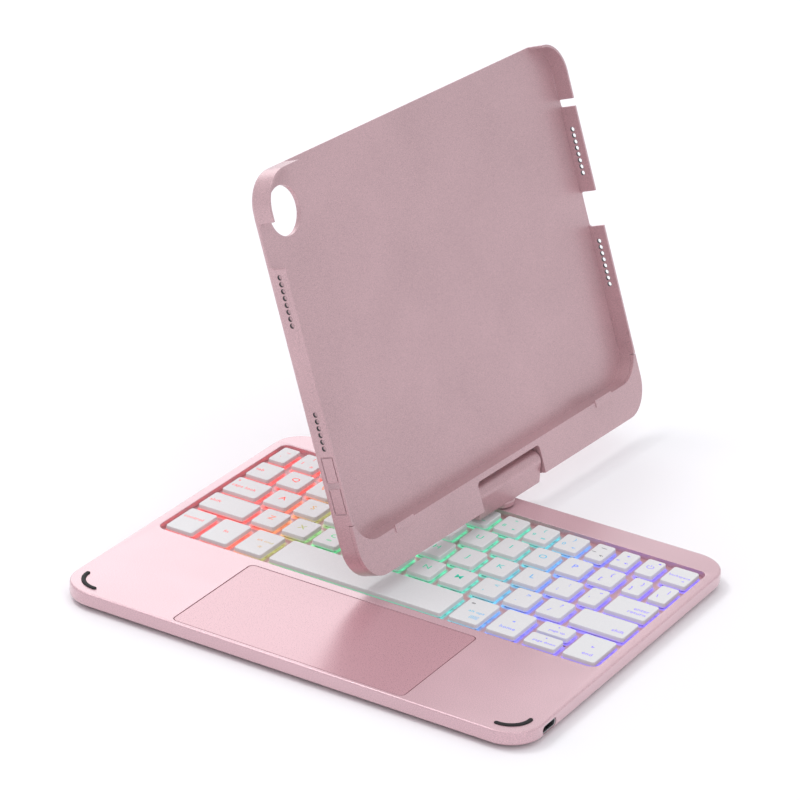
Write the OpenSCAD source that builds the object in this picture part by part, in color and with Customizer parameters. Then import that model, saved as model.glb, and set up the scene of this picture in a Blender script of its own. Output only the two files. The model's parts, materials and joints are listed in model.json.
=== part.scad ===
// Keyboard case for a small tablet: a slim keyboard base, a hinge block that
// swivels on the base's rear ledge, and a tray that tilts on the block.
// The base's own coordinates have their origin at the middle of its outline on
// the desk: +X to the typist's right, +Y to the rear, +Z up.

/* [Tablet] */
// Width of the tablet that the tray holds
tablet_w = 195.4; // [190:0.2:200]
// Height of the tablet
tablet_h = 134.8; // [130:0.2:140]
// Thickness of the tablet
tablet_t = 6.3; // [5.8:0.1:6.8]
// Radius of the tablet's corners
tablet_r = 12; // [9:0.5:14]

/* [Base] */
// Width of the keyboard base
base_w = 188; // [186:1:196]
// Depth of the keyboard base
base_d = 160; // [158:1:166]
// Radius of the base's corners
base_r = 13; // [10:0.5:16]
// Height of the deck over the desk
deck_z = 7; // [6.6:0.1:8]
// Height of the feet
foot_h = 1; // [0.8:0.1:1.4]
// Thickness of the deck's walls and top
deck_wall = 1.2; // [1:0.1:1.4]

/* [Keys] */
// Width of the key field
keys_w = 176.4; // [174:0.2:177]
// Front of the bottom key row
keys_front = -18.8; // [-19.4:0.1:-18]
// Gap between neighbouring keys
key_gap = 3; // [2.6:0.1:3.2]
// Depth of a letter key
key_d = 13; // [12.6:0.1:13.2]
// Depth of the bottom row's keys
bottom_key_d = 18; // [17:0.1:18.4]
// Distance between letter keys
letter_pitch = 13.15; // [13:0.05:13.2]
// Distance between number keys
number_pitch = 12.45; // [12.3:0.05:12.5]
// Height of a key top over the deck
key_proud = 0.2; // [0:0.1:0.5]
// Travel of a key
key_travel = 0.65; // [0.5:0.05:0.65]

/* [Trackpad] */
// Width of the trackpad
pad_w = 92.4; // [80:0.2:100]
// Depth of the trackpad
pad_d = 51.8; // [40:0.2:52]
// Front edge of the trackpad
pad_front = -78.1; // [-78.2:0.1:-77]

/* [Hinge] */
// Distance from the swivel axis to the rear edge of the base
swivel_inset = 8.2; // [7.8:0.1:9]
// Distance from the charging port to the front edge of the base
port_inset = 18.1; // [18:0.1:40]
// Height of the tilt axis over the desk
tilt_z = 17.4; // [17:0.1:19]
// Distance of the tilt axis in front of the swivel axis
tilt_y = 1.8; // [1:0.1:2]
// Radius of the hinge barrel
barrel_r = 4; // [3.8:0.1:4]
// Width of the hinge block
block_w = 42.6; // [38:0.2:48]
// Turn of the tray from facing the typist
swivel_angle = 86.8; // [0:0.1:180]
// Lean of the tray from upright
lean_angle = 20.8; // [0:0.1:50]

/* [Tray] */
// Height of the chin under the tablet
chin_h = 13.9; // [13.5:0.1:15]
// Distance of the chin's lower edge under the tilt axis
chin_drop = 5.6; // [5.4:0.1:5.8]
// Distance from the tilt axis to the tray's front face
face_gap = 4.4; // [4.3:0.1:4.8]
// Depth of the tray from its front face to its back
tray_t = 8.6; // [8.5:0.1:9]
// Thickness of the tray's side walls
tray_wall = 1; // [0.9:0.1:1.2]

/* [Hidden] */
$fn = 48;
e = 0.01;

// Levels of the base, from the desk up
bottom_t = 1;
shell_z = foot_h + bottom_t;
roof_z = deck_z - deck_wall;
plate_z = deck_z - 2.4;
plate_t = 0.8;
sheet_z = shell_z + 0.3;
sheet_t = 0.5;
film_z = sheet_z + sheet_t + 0.1;
film_t = 0.3;
dome_top = deck_z + key_proud - 1.2 - key_travel;
cap_t = 1.9;
cap_z = deck_z + key_proud - cap_t;
cap_roof = 0.8;
hole_r = 0.95;

// Key rows, from the front: each is the row's front edge
row_gap = key_gap + 0.2;
row_pitch = key_d + row_gap;
row_z = keys_front + bottom_key_d + 3.8;
row_a = row_z + row_pitch;
row_q = row_a + row_pitch;
row_num = row_q + row_pitch;
half_d = (bottom_key_d - 1.6) / 2;
keys_x = keys_w / 2;
letter_w = letter_pitch - key_gap + 0.05;
number_w = number_pitch - key_gap + 0.3;
narrow_w = 7.3;
number_x = -78;
q_x = -74.9;
a_x = -70.5;
z_x = -65.4;
mod_w = 11.6;
mod_pitch = mod_w + 3.1;
nav_w = 11.7;
nav_pitch = nav_w + 3.2;
nav_x = 30.1;

// Key well
well_x = 90.1;
well_front = keys_front - 2.8;
well_rear = row_num + key_d + 2.7;
well_r = 3.5;
plate_margin = 1.9;

// Single keys: name, left, right, front, depth
KEYS = [
    ["key_grave", -keys_x, number_x - key_gap, row_num, key_d],
    ["key_minus", 47, 47 + narrow_w, row_num, key_d],
    ["key_equals", 57.2, 57.2 + narrow_w, row_num, key_d],
    ["key_power", 67.5, 67.5 + narrow_w, row_num, key_d],
    ["key_backspace", 77.9, keys_x, row_num, key_d],
    ["key_tab", -keys_x, q_x - key_gap, row_q, key_d],
    ["key_bracket", 70.4, 70.4 + narrow_w, row_q, key_d],
    ["key_backslash", keys_x - narrow_w, keys_x, row_q, key_d],
    ["key_caps", -keys_x, a_x - key_gap, row_a, key_d],
    ["key_quote", 61.4, 61.4 + narrow_w, row_a, key_d],
    ["key_enter", 71.8, keys_x, row_a, key_d],
    ["key_shift_left", -keys_x, z_x - key_gap, row_z, key_d],
    ["key_shift_right", 66.3, keys_x, row_z, key_d],
    ["key_control", -keys_x, -keys_x + mod_w, keys_front, bottom_key_d],
    ["key_fn", -keys_x + mod_pitch, -keys_x + mod_pitch + mod_w, keys_front, bottom_key_d],
    ["key_command", -keys_x + 2 * mod_pitch, -keys_x + 2 * mod_pitch + mod_w,
        keys_front, bottom_key_d],
    ["key_space", -44.1, nav_x - key_gap, keys_front, bottom_key_d],
    ["key_option", nav_x, nav_x + nav_w, keys_front, bottom_key_d],
    ["key_home", nav_x + nav_pitch, nav_x + nav_pitch + nav_w, keys_front, bottom_key_d],
    ["key_page_up", nav_x + 2 * nav_pitch, nav_x + 2 * nav_pitch + nav_w + 0.8,
        keys_front + bottom_key_d - half_d, half_d],
    ["key_page_down", nav_x + 2 * nav_pitch, nav_x + 2 * nav_pitch + nav_w + 0.8,
        keys_front, half_d],
    ["key_end", keys_x - nav_w - 1.2, keys_x, keys_front, bottom_key_d]
];
// Runs of equal keys: name, first left, pitch, width, count, front
RUNS = [
    ["keys_numbers", number_x, number_pitch, number_w, 10, row_num],
    ["keys_q_row", q_x, letter_pitch, letter_w, 11, row_q],
    ["keys_a_row", a_x, letter_pitch, letter_w, 10, row_a],
    ["keys_z_row", z_x, letter_pitch, letter_w, 10, row_z]
];
// Every key's rectangle: left, right, front, depth
function run_keys(r) = [for (i = [0 : r[4] - 1]) [r[1] + i * r[2], r[1] + i * r[2] + r[3], r[5], key_d]];
ALL_KEYS = concat([for (k = KEYS) [k[1], k[2], k[3], k[4]]], [for (r = RUNS) each run_keys(r)]);

// Swivel and its hardware
swivel_y = base_d / 2 - swivel_inset;
post_r = 2.6;
boss_r = 6.8;
boss_z = deck_z + 0.4;
block_z = deck_z + 2;
swivel_plate_t = 1.2;
nut_r = 3.9;
port_y = port_inset - base_d / 2;
port_z = (shell_z + roof_z) / 2 + 0.25;

// Tray, in its own coordinates: X across, Z up along the tray, Y to its back,
// with the origin on the tilt axis
tray_front = -face_gap;
tray_back = tray_t - face_gap;
slot_x = tablet_w / 2 + 0.25;
tray_x = slot_x + tray_wall;
glass_z = chin_h - chin_drop;
slot_z0 = glass_z - 0.25;
slot_z1 = glass_z + tablet_h + 0.25;
tray_z1 = slot_z1 + tray_wall;
slot_r = tablet_r + 0.25;
tray_r = slot_r + tray_wall;
slot_t = tablet_t + 0.4;
cover_t = 1.6;
cover_top = glass_z + 8.4;
notch_x = block_w / 2 + 0.35;
notch_z = barrel_r + 1.7;
pocket_x0 = notch_x + 1.2;
pocket_x1 = 66;
pocket_z0 = -chin_drop + 1.4;
pocket_z1 = slot_z0 - 1.6;
pocket_back = tray_back - 1.4;
shaft_r = 1.8;
screw_z = 4.2;
side_mid = tray_front + 3.6;
button_w = 4.4;
button_gap = 0.4;
button_t = 0.9;
up_z = glass_z + 24.7;
down_z = glass_z + 13.2;
button_l = 9.2;

// Shift that puts the whole part's box over the origin
rest_y = -46.66;

// ---------------------------------------------------------------- helpers

// Rectangle from corner p to corner q with rounded corners
module rounded(p, q, r) {
    translate([p[0] + r, p[1]]) square([q[0] - p[0] - 2 * r, q[1] - p[1]]);
    translate([p[0], p[1] + r]) square([q[0] - p[0], q[1] - p[1] - 2 * r]);
    for (x = [p[0] + r, q[0] - r], y = [p[1] + r, q[1] - r]) translate([x, y]) circle(r);
}

// Slab of the base, from z0 to z1
module slab(p, q, r, z0, z1) {
    translate([0, 0, z0]) linear_extrude(z1 - z0) rounded(p, q, r);
}

module box(p, q) {
    translate(p) cube(q - p);
}

// Places its children from the base's coordinates into the part's
module on_base() {
    translate([0, rest_y, 0]) children();
}

// Places its children from the block's coordinates: X along the tilt axis,
// origin on the swivel axis at desk height
module on_swivel() {
    on_base() translate([0, swivel_y, 0]) rotate([0, 0, swivel_angle]) children();
}

// Places its children from the tray's coordinates
module on_tray() {
    on_swivel() translate([0, -tilt_y, tilt_z]) rotate([-lean_angle, 0, 0]) children();
}

// Plate in the tray's coordinates from an XZ outline, between two depths
module tray_slab(y0, y1) {
    translate([0, y1, 0]) rotate([90, 0, 0]) linear_extrude(y1 - y0) children();
}

// Cylinder along the tray's depth
module tray_pin(x, z, r, y0, y1) {
    translate([x, y1, z]) rotate([90, 0, 0]) cylinder(r = r, h = y1 - y0);
}

// Cylinder along the tilt axis
module axle(x0, x1, r) {
    translate([x0, 0, 0]) rotate([0, 90, 0]) cylinder(r = r, h = x1 - x0);
}

// Outline of the base, pulled in by an inset
module base_outline(inset) {
    rounded([-base_w / 2 + inset, -base_d / 2 + inset], [base_w / 2 - inset, base_d / 2 - inset],
        base_r - inset);
}

// Places of the six screws that hold the bottom cover
module at_base_screws() {
    for (x = [-86.6, 86.6]) translate([x, well_front - 4.2, 0]) children();
    for (x = [-80, -34, 34, 80]) translate([x, 75, 0]) children();
}

// Bumper arc over the right front corner: a strip of the given half width
module bumper_arc(half_w, z0, z1) {
    arc_r = base_r - 4.8;
    translate([base_w / 2 - base_r, -base_d / 2 + base_r, 0]) rotate([0, 0, -92]) {
        rotate_extrude(angle = 94) translate([arc_r - half_w, z0]) square([2 * half_w, z1 - z0]);
        for (a = [0, 94]) rotate([0, 0, a]) translate([arc_r, 0, z0]) cylinder(r = half_w, h = z1 - z0);
    }
}

// One key cap, hollow underneath
module cap(k) {
    on_base() difference() {
        slab([k[0], k[2]], [k[1], k[2] + k[3]], 1.2, cap_z, cap_z + cap_t);
        slab([k[0] + 0.8, k[2] + 0.8], [k[1] - 0.8, k[2] + k[3] - 0.8], 0.6, cap_z - e, cap_z + cap_t - cap_roof);
    }
}

module single_key(name) {
    color("white") for (k = KEYS) if (k[0] == name) cap([k[1], k[2], k[3], k[4]]);
}

module key_run(name) {
    color("white") for (r = RUNS) if (r[0] == name) for (k = run_keys(r)) cap(k);
}

// ---------------------------------------------------------------- base

// Deck: top of the base with its side walls, the key well and the trackpad's window
module deck() {
    color("pink") on_base() difference() {
        union() {
            difference() {
                translate([0, 0, shell_z]) linear_extrude(deck_z - shell_z) base_outline(0);
                translate([0, 0, shell_z - e]) linear_extrude(roof_z - shell_z + e) base_outline(deck_wall);
            }
            slab([-well_x - 1, well_front - 1], [well_x + 1, well_rear + 1], well_r + 1, plate_z, roof_z + e);
            at_base_screws() translate([0, 0, shell_z]) cylinder(r = 1.7, h = roof_z - shell_z + e);
        }
        slab([-well_x, well_front], [well_x, well_rear], well_r, shell_z, deck_z + e);
        slab([-pad_w / 2 - 0.25, pad_front - 0.25], [pad_w / 2 + 0.25, pad_front + pad_d + 0.25],
            2.2, shell_z, deck_z + e);
        at_base_screws() translate([0, 0, shell_z - e]) cylinder(r = 0.8, h = 3);
        translate([0, swivel_y, roof_z - e]) cylinder(r = post_r + 0.05, h = deck_wall + 2 * e);
        for (s = [0, 1]) mirror([s, 0, 0]) bumper_arc(0.85, deck_z - 0.5, deck_z + e);
        usb_slot(4.75, 1.7, base_w / 2 - deck_wall - e, base_w / 2 + e);
        at_lights() cylinder(r = 0.35, h = deck_wall + 2 * e);
    }
}

// Lens-shaped slot of the charging port, from x0 to x1
module usb_slot(half_w, half_h, x0, x1) {
    translate([x0, port_y, port_z]) rotate([90, 0, 90])
        linear_extrude(x1 - x0) rounded([-half_w, -half_h], [half_w, half_h], half_h - 0.1);
}

// Places of the three indicator lights beside the charging port
module at_lights() {
    for (i = [0 : 2]) translate([base_w / 2 - 5, port_y - 2 + 2 * i, roof_z - e]) children();
}

// Bottom cover: the plate that closes the base
module bottom_cover() {
    color("pink") on_base() difference() {
        translate([0, 0, foot_h]) linear_extrude(bottom_t) base_outline(1);
        at_feet() slab([-11.1, -3.1], [11.1, 3.1], 3, foot_h - e, foot_h + 0.4);
        at_base_screws() translate([0, 0, foot_h - e]) {
            cylinder(r = 0.8, h = bottom_t + 2 * e);
            cylinder(r = 1.6, h = 0.6);
        }
    }
}

module at_feet() {
    for (x = [-70, 70], y = [-68, 68]) translate([x, y, 0]) children();
}

// Feet: four rubber pads that the base stands on
module feet() {
    color("dimgray") on_base() at_feet() slab([-11, -3], [11, 3], 2.9, 0, foot_h + 0.4);
}

// Screws that hold the bottom cover to the deck
module base_screws() {
    color("silver") on_base() at_base_screws() translate([0, 0, foot_h]) {
        cylinder(r = 1.5, h = 0.5);
        cylinder(r = 0.75, h = 3.4);
    }
}

// Round notch that clears the swivel's nut under the rear ledge
module swivel_notch() {
    translate([0, swivel_y, shell_z]) cylinder(r = nut_r + 0.4, h = 5);
}

// Key plate: the floor of the key well, with a window under each key
module key_plate() {
    color("lightpink") on_base() difference() {
        slab([-well_x - plate_margin, well_front - plate_margin],
            [well_x + plate_margin, well_rear + plate_margin], well_r, plate_z - plate_t, plate_z);
        for (k = ALL_KEYS)
            box([k[0] + 0.9, k[2] + 0.9, plate_z - plate_t - e], [k[1] - 0.9, k[2] + k[3] - 0.9, plate_z + e]);
        swivel_notch();
    }
}

// Switch film: the contact sheet with a rubber dome under each key
module switch_film() {
    color("gainsboro") on_base() {
        difference() {
            slab([-well_x - 1, well_front - 0.8], [well_x + 1, well_rear + 1], well_r, film_z, film_z + film_t);
            swivel_notch();
        }
        for (k = ALL_KEYS) translate([(k[0] + k[1]) / 2, k[2] + k[3] / 2, film_z + film_t - e])
            cylinder(r = 1.4, h = dome_top - film_z - film_t + e, $fn = 16);
    }
}

// Scissor frames that guide the keys, folded flat
module key_scissors() {
    color("whitesmoke") on_base() for (k = ALL_KEYS) difference() {
        box([k[0] + 1.4, k[2] + 1.5, film_z + film_t + 0.1], [k[1] - 1.4, k[2] + k[3] - 1.5, dome_top - 0.1]);
        box([k[0] + 1.9, k[2] + 2.1, film_z], [k[1] - 1.9, k[2] + k[3] - 2.1, dome_top]);
    }
}

// Backlight: the clear sheet that lights the keys
module backlight_sheet() {
    color("lightcyan") on_base() difference() {
        slab([-well_x - 1, well_front + 0.6], [well_x + 1, well_rear + 1], well_r, sheet_z, sheet_z + sheet_t);
        swivel_notch();
    }
}

// Main circuit board, under the right palm rest
module main_board() {
    color("darkgreen") on_base() {
        slab([50, -70], [91.5, -28], 2, shell_z + 0.1, shell_z + 0.7);
        box([58, -66, shell_z + 0.7], [68, -56, shell_z + 1.7]);
        box([58, -48, shell_z + 0.7], [64, -42, shell_z + 1.5]);
    }
}

// Battery, under the left palm rest
module battery() {
    color("silver") on_base() slab([-91, -72], [-52, -30], 1.5, shell_z + 0.2, shell_z + 3.2);
}

// Charging port: the metal shell and its tongue
module usb_port() {
    color("silver") on_base() {
        difference() {
            usb_slot(4.5, 1.4, base_w / 2 - 7.4, base_w / 2 - 0.2);
            usb_slot(4.2, 1.1, base_w / 2 - 6.4, base_w / 2 + e);
        }
        box([base_w / 2 - 6.5, port_y - 3.3, port_z - 0.35], [base_w / 2 - 1.4, port_y + 3.3, port_z + 0.35]);
    }
}

// Indicator lights in the deck beside the charging port
module indicator_lights() {
    color("white") on_base() at_lights() cylinder(r = 0.3, h = deck_wall);
}

// Magnets that wake and sleep the tablet, under the deck
module sleep_magnets() {
    color("silver") on_base() for (x = [-49.5, 49.5])
        translate([x, -26, roof_z - 1.6]) cylinder(r = 1.6, h = 1.5);
}

// Trackpad plate, which turns on two pivots at its rear and clicks down at its front
module trackpad() {
    color("pink") on_base() {
        slab([-pad_w / 2, pad_front], [pad_w / 2, pad_front + pad_d], 2, deck_z - 1.2, deck_z - 0.05);
        translate([0, pad_front + 8, deck_z - 1.7]) cylinder(r = 2, h = 0.6);
        for (x = [-33, 27]) translate([x, pad_front + pad_d - 1, deck_z - 1.55])
            rotate([0, 90, 0]) cylinder(r = 0.45, h = 6);
    }
}

// Bracket that carries the trackpad, with a window for the switch
module trackpad_bracket() {
    color("silver") on_base() difference() {
        slab([-pad_w / 2 - 1.6, pad_front + 0.4], [pad_w / 2 + 1.6, pad_front + pad_d + 1.6],
            1.5, deck_z - 3, deck_z - 2.4);
        translate([0, pad_front + 8, 0]) cylinder(r = 4, h = deck_z);
    }
}

// Trackpad's circuit board with its click switch
module trackpad_board() {
    color("darkgreen") on_base() {
        slab([-40, pad_front + 3], [40, pad_front + pad_d - 6], 1.5, shell_z + 0.3, shell_z + 0.9);
        translate([0, pad_front + 8, shell_z + 0.8]) cylinder(r = 2.6, h = deck_z - 2.4 - shell_z - 0.8);
    }
}

// Rubber bumpers on the front corners, where the closed tray rests
module corner_bumpers() {
    color("dimgray") on_base() for (s = [0, 1]) mirror([s, 0, 0])
        bumper_arc(0.8, deck_z - 0.5, deck_z + 0.6);
}

// ---------------------------------------------------------------- swivel

// Plate under the deck that spreads the swivel's load
module swivel_plate() {
    color("silver") on_base() difference() {
        slab([-26, swivel_y - 3.4], [26, swivel_y + 6.6], 2, roof_z - swivel_plate_t, roof_z);
        translate([0, swivel_y, roof_z - swivel_plate_t - e]) cylinder(r = post_r + 0.05, h = swivel_plate_t + 2 * e);
    }
}

// Slippery washer between the block and the deck
module slide_washer() {
    color("white") on_swivel() translate([0, 0, deck_z + 0.05]) ring(4.3, post_r + 0.05, 0.3);
}

// Spring washer that gives the swivel its drag
module spring_washer() {
    color("silver") on_swivel() translate([0, 0, roof_z - swivel_plate_t - 0.55]) ring(nut_r, post_r + 0.05, 0.5);
}

module ring(r_out, r_in, h) {
    difference() {
        cylinder(r = r_out, h = h);
        translate([0, 0, -e]) cylinder(r = r_in, h = h + 2 * e);
    }
}

// Post that turns in the deck
module swivel_post() {
    color("silver") on_swivel() translate([0, 0, shell_z + 0.5])
        cylinder(r = post_r, h = block_z + 2.4 - shell_z - 0.5);
}

// Nut that holds the post from below
module swivel_nut() {
    color("silver") on_swivel() translate([0, 0, shell_z + 0.7])
        ring(nut_r, post_r, roof_z - swivel_plate_t - 0.6 - shell_z - 0.7);
}

// Hinge block: the barrel on its plate, with the round boss that swivels
module hinge_block() {
    color("rosybrown") on_swivel() difference() {
        union() {
            translate([0, -tilt_y, tilt_z]) axle(-block_w / 2, block_w / 2, barrel_r);
            box([-block_w / 2, -tilt_y - barrel_r, block_z], [block_w / 2, -tilt_y + barrel_r, tilt_z]);
            translate([0, 0, boss_z]) cylinder(r = boss_r, h = 5);
            translate([0, 0, boss_z + 5]) cylinder(r1 = boss_r, r2 = 5.2, h = 1.6);
        }
        translate([0, 0, boss_z - e]) cylinder(r = post_r, h = block_z + 2.4 - boss_z + e);
        for (s = [0, 1]) mirror([s, 0, 0]) translate([0, -tilt_y, tilt_z]) axle(9, block_w / 2 + e, shaft_r);
    }
}

// Steel shafts fixed in the block's two ends
module hinge_shafts() {
    color("silver") on_swivel() for (s = [0, 1]) mirror([s, 0, 0])
        translate([0, -tilt_y, tilt_z]) axle(9, 41, shaft_r);
}

// ---------------------------------------------------------------- tray

// Outline of the tray in the XZ plane
module tray_outline() {
    rounded([-tray_x, -chin_drop], [tray_x, tray_z1], tray_r);
}

// Outline of the slot that the tablet fills
module tablet_outline() {
    rounded([-slot_x, slot_z0], [slot_x, slot_z1], slot_r);
}

// Notch in the chin around the hinge block
module hinge_notch() {
    rounded([-notch_x, -chin_drop - 6], [notch_x, notch_z], 1.8);
}

// Outline of the chin's front cover
module cover_outline() {
    difference() {
        intersection() {
            tray_outline();
            translate([-tray_x - 1, -chin_drop - 1]) square([2 * tray_x + 2, cover_top + chin_drop + 1]);
        }
        tablet_outline();
        hinge_notch();
    }
}

// Notch through a side wall (side -1 or 1), open to the front, with rounded inner corners
module wall_cut(side, z0, z1, y1, r) {
    x0 = side < 0 ? -tray_x - 1 : slot_x - 1;
    x1 = x0 + tray_wall + 2;
    box([x0, tray_front - 1, z0], [x1, y1 - r, z1]);
    box([x0, tray_front - 1, z0 + r], [x1, y1, z1 - r]);
    for (z = [z0 + r, z1 - r]) translate([x0, y1 - r, z]) rotate([0, 90, 0]) cylinder(r = r, h = x1 - x0);
}

// Row of sound holes through a side wall
module sound_holes(side, z0, count) {
    for (i = [0 : count - 1]) translate([side * (tray_x + 1), side_mid, z0 + 2.5 * i])
        rotate([0, -90 * side, 0]) cylinder(r = hole_r, h = tray_wall + 2);
}

// Hardware pocket in the chin, on the +X side
module hinge_pocket() {
    box([pocket_x0, tray_front - 1, pocket_z0], [pocket_x1, pocket_back, pocket_z1]);
    axle(notch_x - 1, pocket_x0 + 1, shaft_r + 0.4);
}

// Window for both volume buttons, with the gap around them
module button_window() {
    box([-tray_x - 1, side_mid - button_w / 2 - button_gap, down_z - button_gap],
        [-slot_x + 1, side_mid + button_w / 2 + button_gap, up_z + button_l + button_gap]);
}

// Back shell: the tray that holds the tablet, with its chin
module back_shell() {
    color("pink") on_tray() difference() {
        tray_slab(tray_front, tray_back) tray_outline();
        tray_slab(tray_front - 1, tray_front + slot_t) tablet_outline();
        tray_slab(tray_front - 1, tray_front + cover_t) cover_cut();
        tray_slab(tray_front - 1, tray_back + 1) hinge_notch();
        for (s = [0, 1]) mirror([s, 0, 0]) {
            hinge_pocket();
            for (x = [44, 58]) tray_pin(x, screw_z, 0.75, pocket_back - e, pocket_back + 1);
        }
        // open long side between the corner caps
        box([-tray_x + tray_r + 9, tray_front - 1, slot_z1 - 2], [tray_x - tray_r, tray_front + slot_t, tray_z1 + 1]);
        wall_cut(-1, glass_z + 103, glass_z + 119.6, tray_front + slot_t, 1.7);
        sound_holes(-1, glass_z + 82.5, 8);
        sound_holes(-1, glass_z + 37.4, 6);
        button_window();
        wall_cut(1, glass_z + 109, glass_z + 112, tray_front + slot_t, 0.8);
        wall_cut(1, glass_z + 61, glass_z + 75, tray_front + slot_t, 1.2);
        sound_holes(1, glass_z + 82.5, 8);
        sound_holes(1, glass_z + 37.4, 8);
        // camera window
        tray_pin(-slot_x + 15, slot_z1 - 15, 9, tray_front, tray_back + 1);
    }
}

// Room for the chin's cover in the shell
module cover_cut() {
    intersection() {
        rounded([-tray_x - 1, -chin_drop - 1], [tray_x + 1, cover_top + 20], 2);
        translate([-tray_x - 1, -chin_drop - 1]) square([2 * tray_x + 2, cover_top + chin_drop + 1.2]);
    }
}

// Chin cover: the front plate over the hinge's hardware, with its two lips
module chin_cover() {
    color("pink") on_tray() {
        tray_slab(tray_front, tray_front + cover_t - 0.05) cover_outline();
        for (s = [-1, 1])
            box([s * 69.8 - 6, tray_front - 0.4, slot_z0 - 2], [s * 69.8 + 6, tray_front + e, glass_z + 0.6]);
    }
}

// Bracket on the +X side: an ear around the shaft and a foot screwed to the shell
module hinge_bracket() {
    difference() {
        union() {
            box([pocket_x0 + 0.3, -2.5, -3.3], [pocket_x0 + 3.3, pocket_back - 0.05, 3.3]);
            box([pocket_x0 + 0.3, pocket_back - 0.8, 2.7], [62, pocket_back - 0.05, 5.7]);
        }
        axle(pocket_x0, pocket_x0 + 4, shaft_r + 0.04);
        for (x = [44, 58]) tray_pin(x, screw_z, 0.85, pocket_back - 1, pocket_back + 1);
    }
}

module hinge_bracket_left() {
    color("silver") on_tray() mirror([1, 0, 0]) hinge_bracket();
}

module hinge_bracket_right() {
    color("silver") on_tray() hinge_bracket();
}

// Sleeves that clamp the shafts and hold the tray's angle
module friction_sleeves() {
    color("gray") on_tray() for (s = [0, 1]) mirror([s, 0, 0]) difference() {
        union() {
            axle(pocket_x0 + 3.6, 38, 2.5);
            box([pocket_x0 + 3.6, -0.5, 1.9], [38, 0.9, 4.6]);
        }
        axle(pocket_x0 + 3, 39, shaft_r + 0.04);
    }
}

// Screws that hold the brackets
module bracket_screws() {
    color("silver") on_tray() for (s = [0, 1]) mirror([s, 0, 0]) for (x = [44, 58]) {
        tray_pin(x, screw_z, 0.7, pocket_back - 1.2, pocket_back + 0.9);
        tray_pin(x, screw_z, 1.5, pocket_back - 1.6, pocket_back - 0.85);
    }
}

// Volume button: a tab that bends inwards at a push
module volume_button(z0) {
    color("pink") on_tray() box([-tray_x, side_mid - button_w / 2, z0],
        [-tray_x + button_t, side_mid + button_w / 2, z0 + button_l]);
}

module volume_up() {
    volume_button(up_z);
}

module volume_down() {
    volume_button(down_z);
}

deck();
bottom_cover();
key_plate();
switch_film();
key_scissors();
backlight_sheet();
main_board();
battery();
usb_port();
trackpad();
trackpad_board();
trackpad_bracket();
corner_bumpers();
feet();
base_screws();
indicator_lights();
sleep_magnets();
swivel_plate();
slide_washer();
spring_washer();
swivel_post();
swivel_nut();
hinge_block();
hinge_shafts();
hinge_bracket_left();
hinge_bracket_right();
friction_sleeves();
bracket_screws();
back_shell();
chin_cover();
volume_up();
volume_down();
key_run("keys_numbers");  // keys_numbers
key_run("keys_q_row");  // keys_q_row
key_run("keys_a_row");  // keys_a_row
key_run("keys_z_row");  // keys_z_row
single_key("key_grave");  // key_grave
single_key("key_minus");  // key_minus
single_key("key_equals");  // key_equals
single_key("key_power");  // key_power
single_key("key_backspace");  // key_backspace
single_key("key_tab");  // key_tab
single_key("key_bracket");  // key_bracket
single_key("key_backslash");  // key_backslash
single_key("key_caps");  // key_caps
single_key("key_quote");  // key_quote
single_key("key_enter");  // key_enter
single_key("key_shift_left");  // key_shift_left
single_key("key_shift_right");  // key_shift_right
single_key("key_control");  // key_control
single_key("key_fn");  // key_fn
single_key("key_command");  // key_command
single_key("key_space");  // key_space
single_key("key_option");  // key_option
single_key("key_home");  // key_home
single_key("key_page_up");  // key_page_up
single_key("key_page_down");  // key_page_down
single_key("key_end");  // key_end
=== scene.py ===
"""Looks of the tablet keyboard case: a slim backlit keyboard whose rear hinge block carries a tray.

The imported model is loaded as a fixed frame, and each sub-assembly's class builds its visible
pieces round it, in metres, in the frame's own coordinates.
"""

from __future__ import annotations

import json
import logging
import math
from collections.abc import Iterable, Sequence
from dataclasses import dataclass, field
from enum import Enum

import bmesh
import bpy
from mathutils import Matrix, Vector
from mathutils.geometry import tessellate_polygon


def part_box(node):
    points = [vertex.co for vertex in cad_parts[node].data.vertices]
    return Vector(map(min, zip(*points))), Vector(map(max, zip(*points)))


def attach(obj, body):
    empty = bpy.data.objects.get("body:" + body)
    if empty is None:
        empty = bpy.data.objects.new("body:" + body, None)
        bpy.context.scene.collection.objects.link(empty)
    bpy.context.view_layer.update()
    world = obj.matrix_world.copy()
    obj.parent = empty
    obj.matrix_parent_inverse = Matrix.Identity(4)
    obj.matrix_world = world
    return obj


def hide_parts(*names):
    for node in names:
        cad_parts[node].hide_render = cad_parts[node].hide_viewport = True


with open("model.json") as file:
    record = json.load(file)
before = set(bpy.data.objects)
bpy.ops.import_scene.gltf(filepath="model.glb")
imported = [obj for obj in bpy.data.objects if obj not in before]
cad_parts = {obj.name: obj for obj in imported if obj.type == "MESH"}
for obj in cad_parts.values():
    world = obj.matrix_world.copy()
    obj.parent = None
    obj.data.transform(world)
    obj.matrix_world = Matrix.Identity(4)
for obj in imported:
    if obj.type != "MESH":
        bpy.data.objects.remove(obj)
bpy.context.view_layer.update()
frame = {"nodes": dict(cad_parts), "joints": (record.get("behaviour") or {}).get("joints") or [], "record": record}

MM = 0.001
SMOOTH = 32.0
LOG = logging.getLogger("keyboard_case")
Point = tuple[float, float]
Colour = tuple[float, float, float]
Flat = tuple[list[Point], list[Sequence[int]]]
Material = bpy.types.Material
Object = bpy.types.Object
Socket = bpy.types.NodeSocket
Box = tuple[Vector, Vector]


class Slot(Enum):
    """Material slots of the record."""

    ROSE = "rose_metal"
    PAD = "rose_pad"
    PLATE = "key_plate"
    HINGE = "hinge_paint"
    KEY = "key_cap"
    SHEET = "clear_sheet"
    WHITE = "white_plastic"
    BOARD = "board"
    FOIL = "silver_foil"
    PORT = "port_steel"
    STEEL = "steel"
    RUBBER = "black_rubber"
    LENS = "light_lens"


# ------------------------------------------------------------------ materials

NOISE_LOW, NOISE_HIGH = 0.3, 0.7


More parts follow.
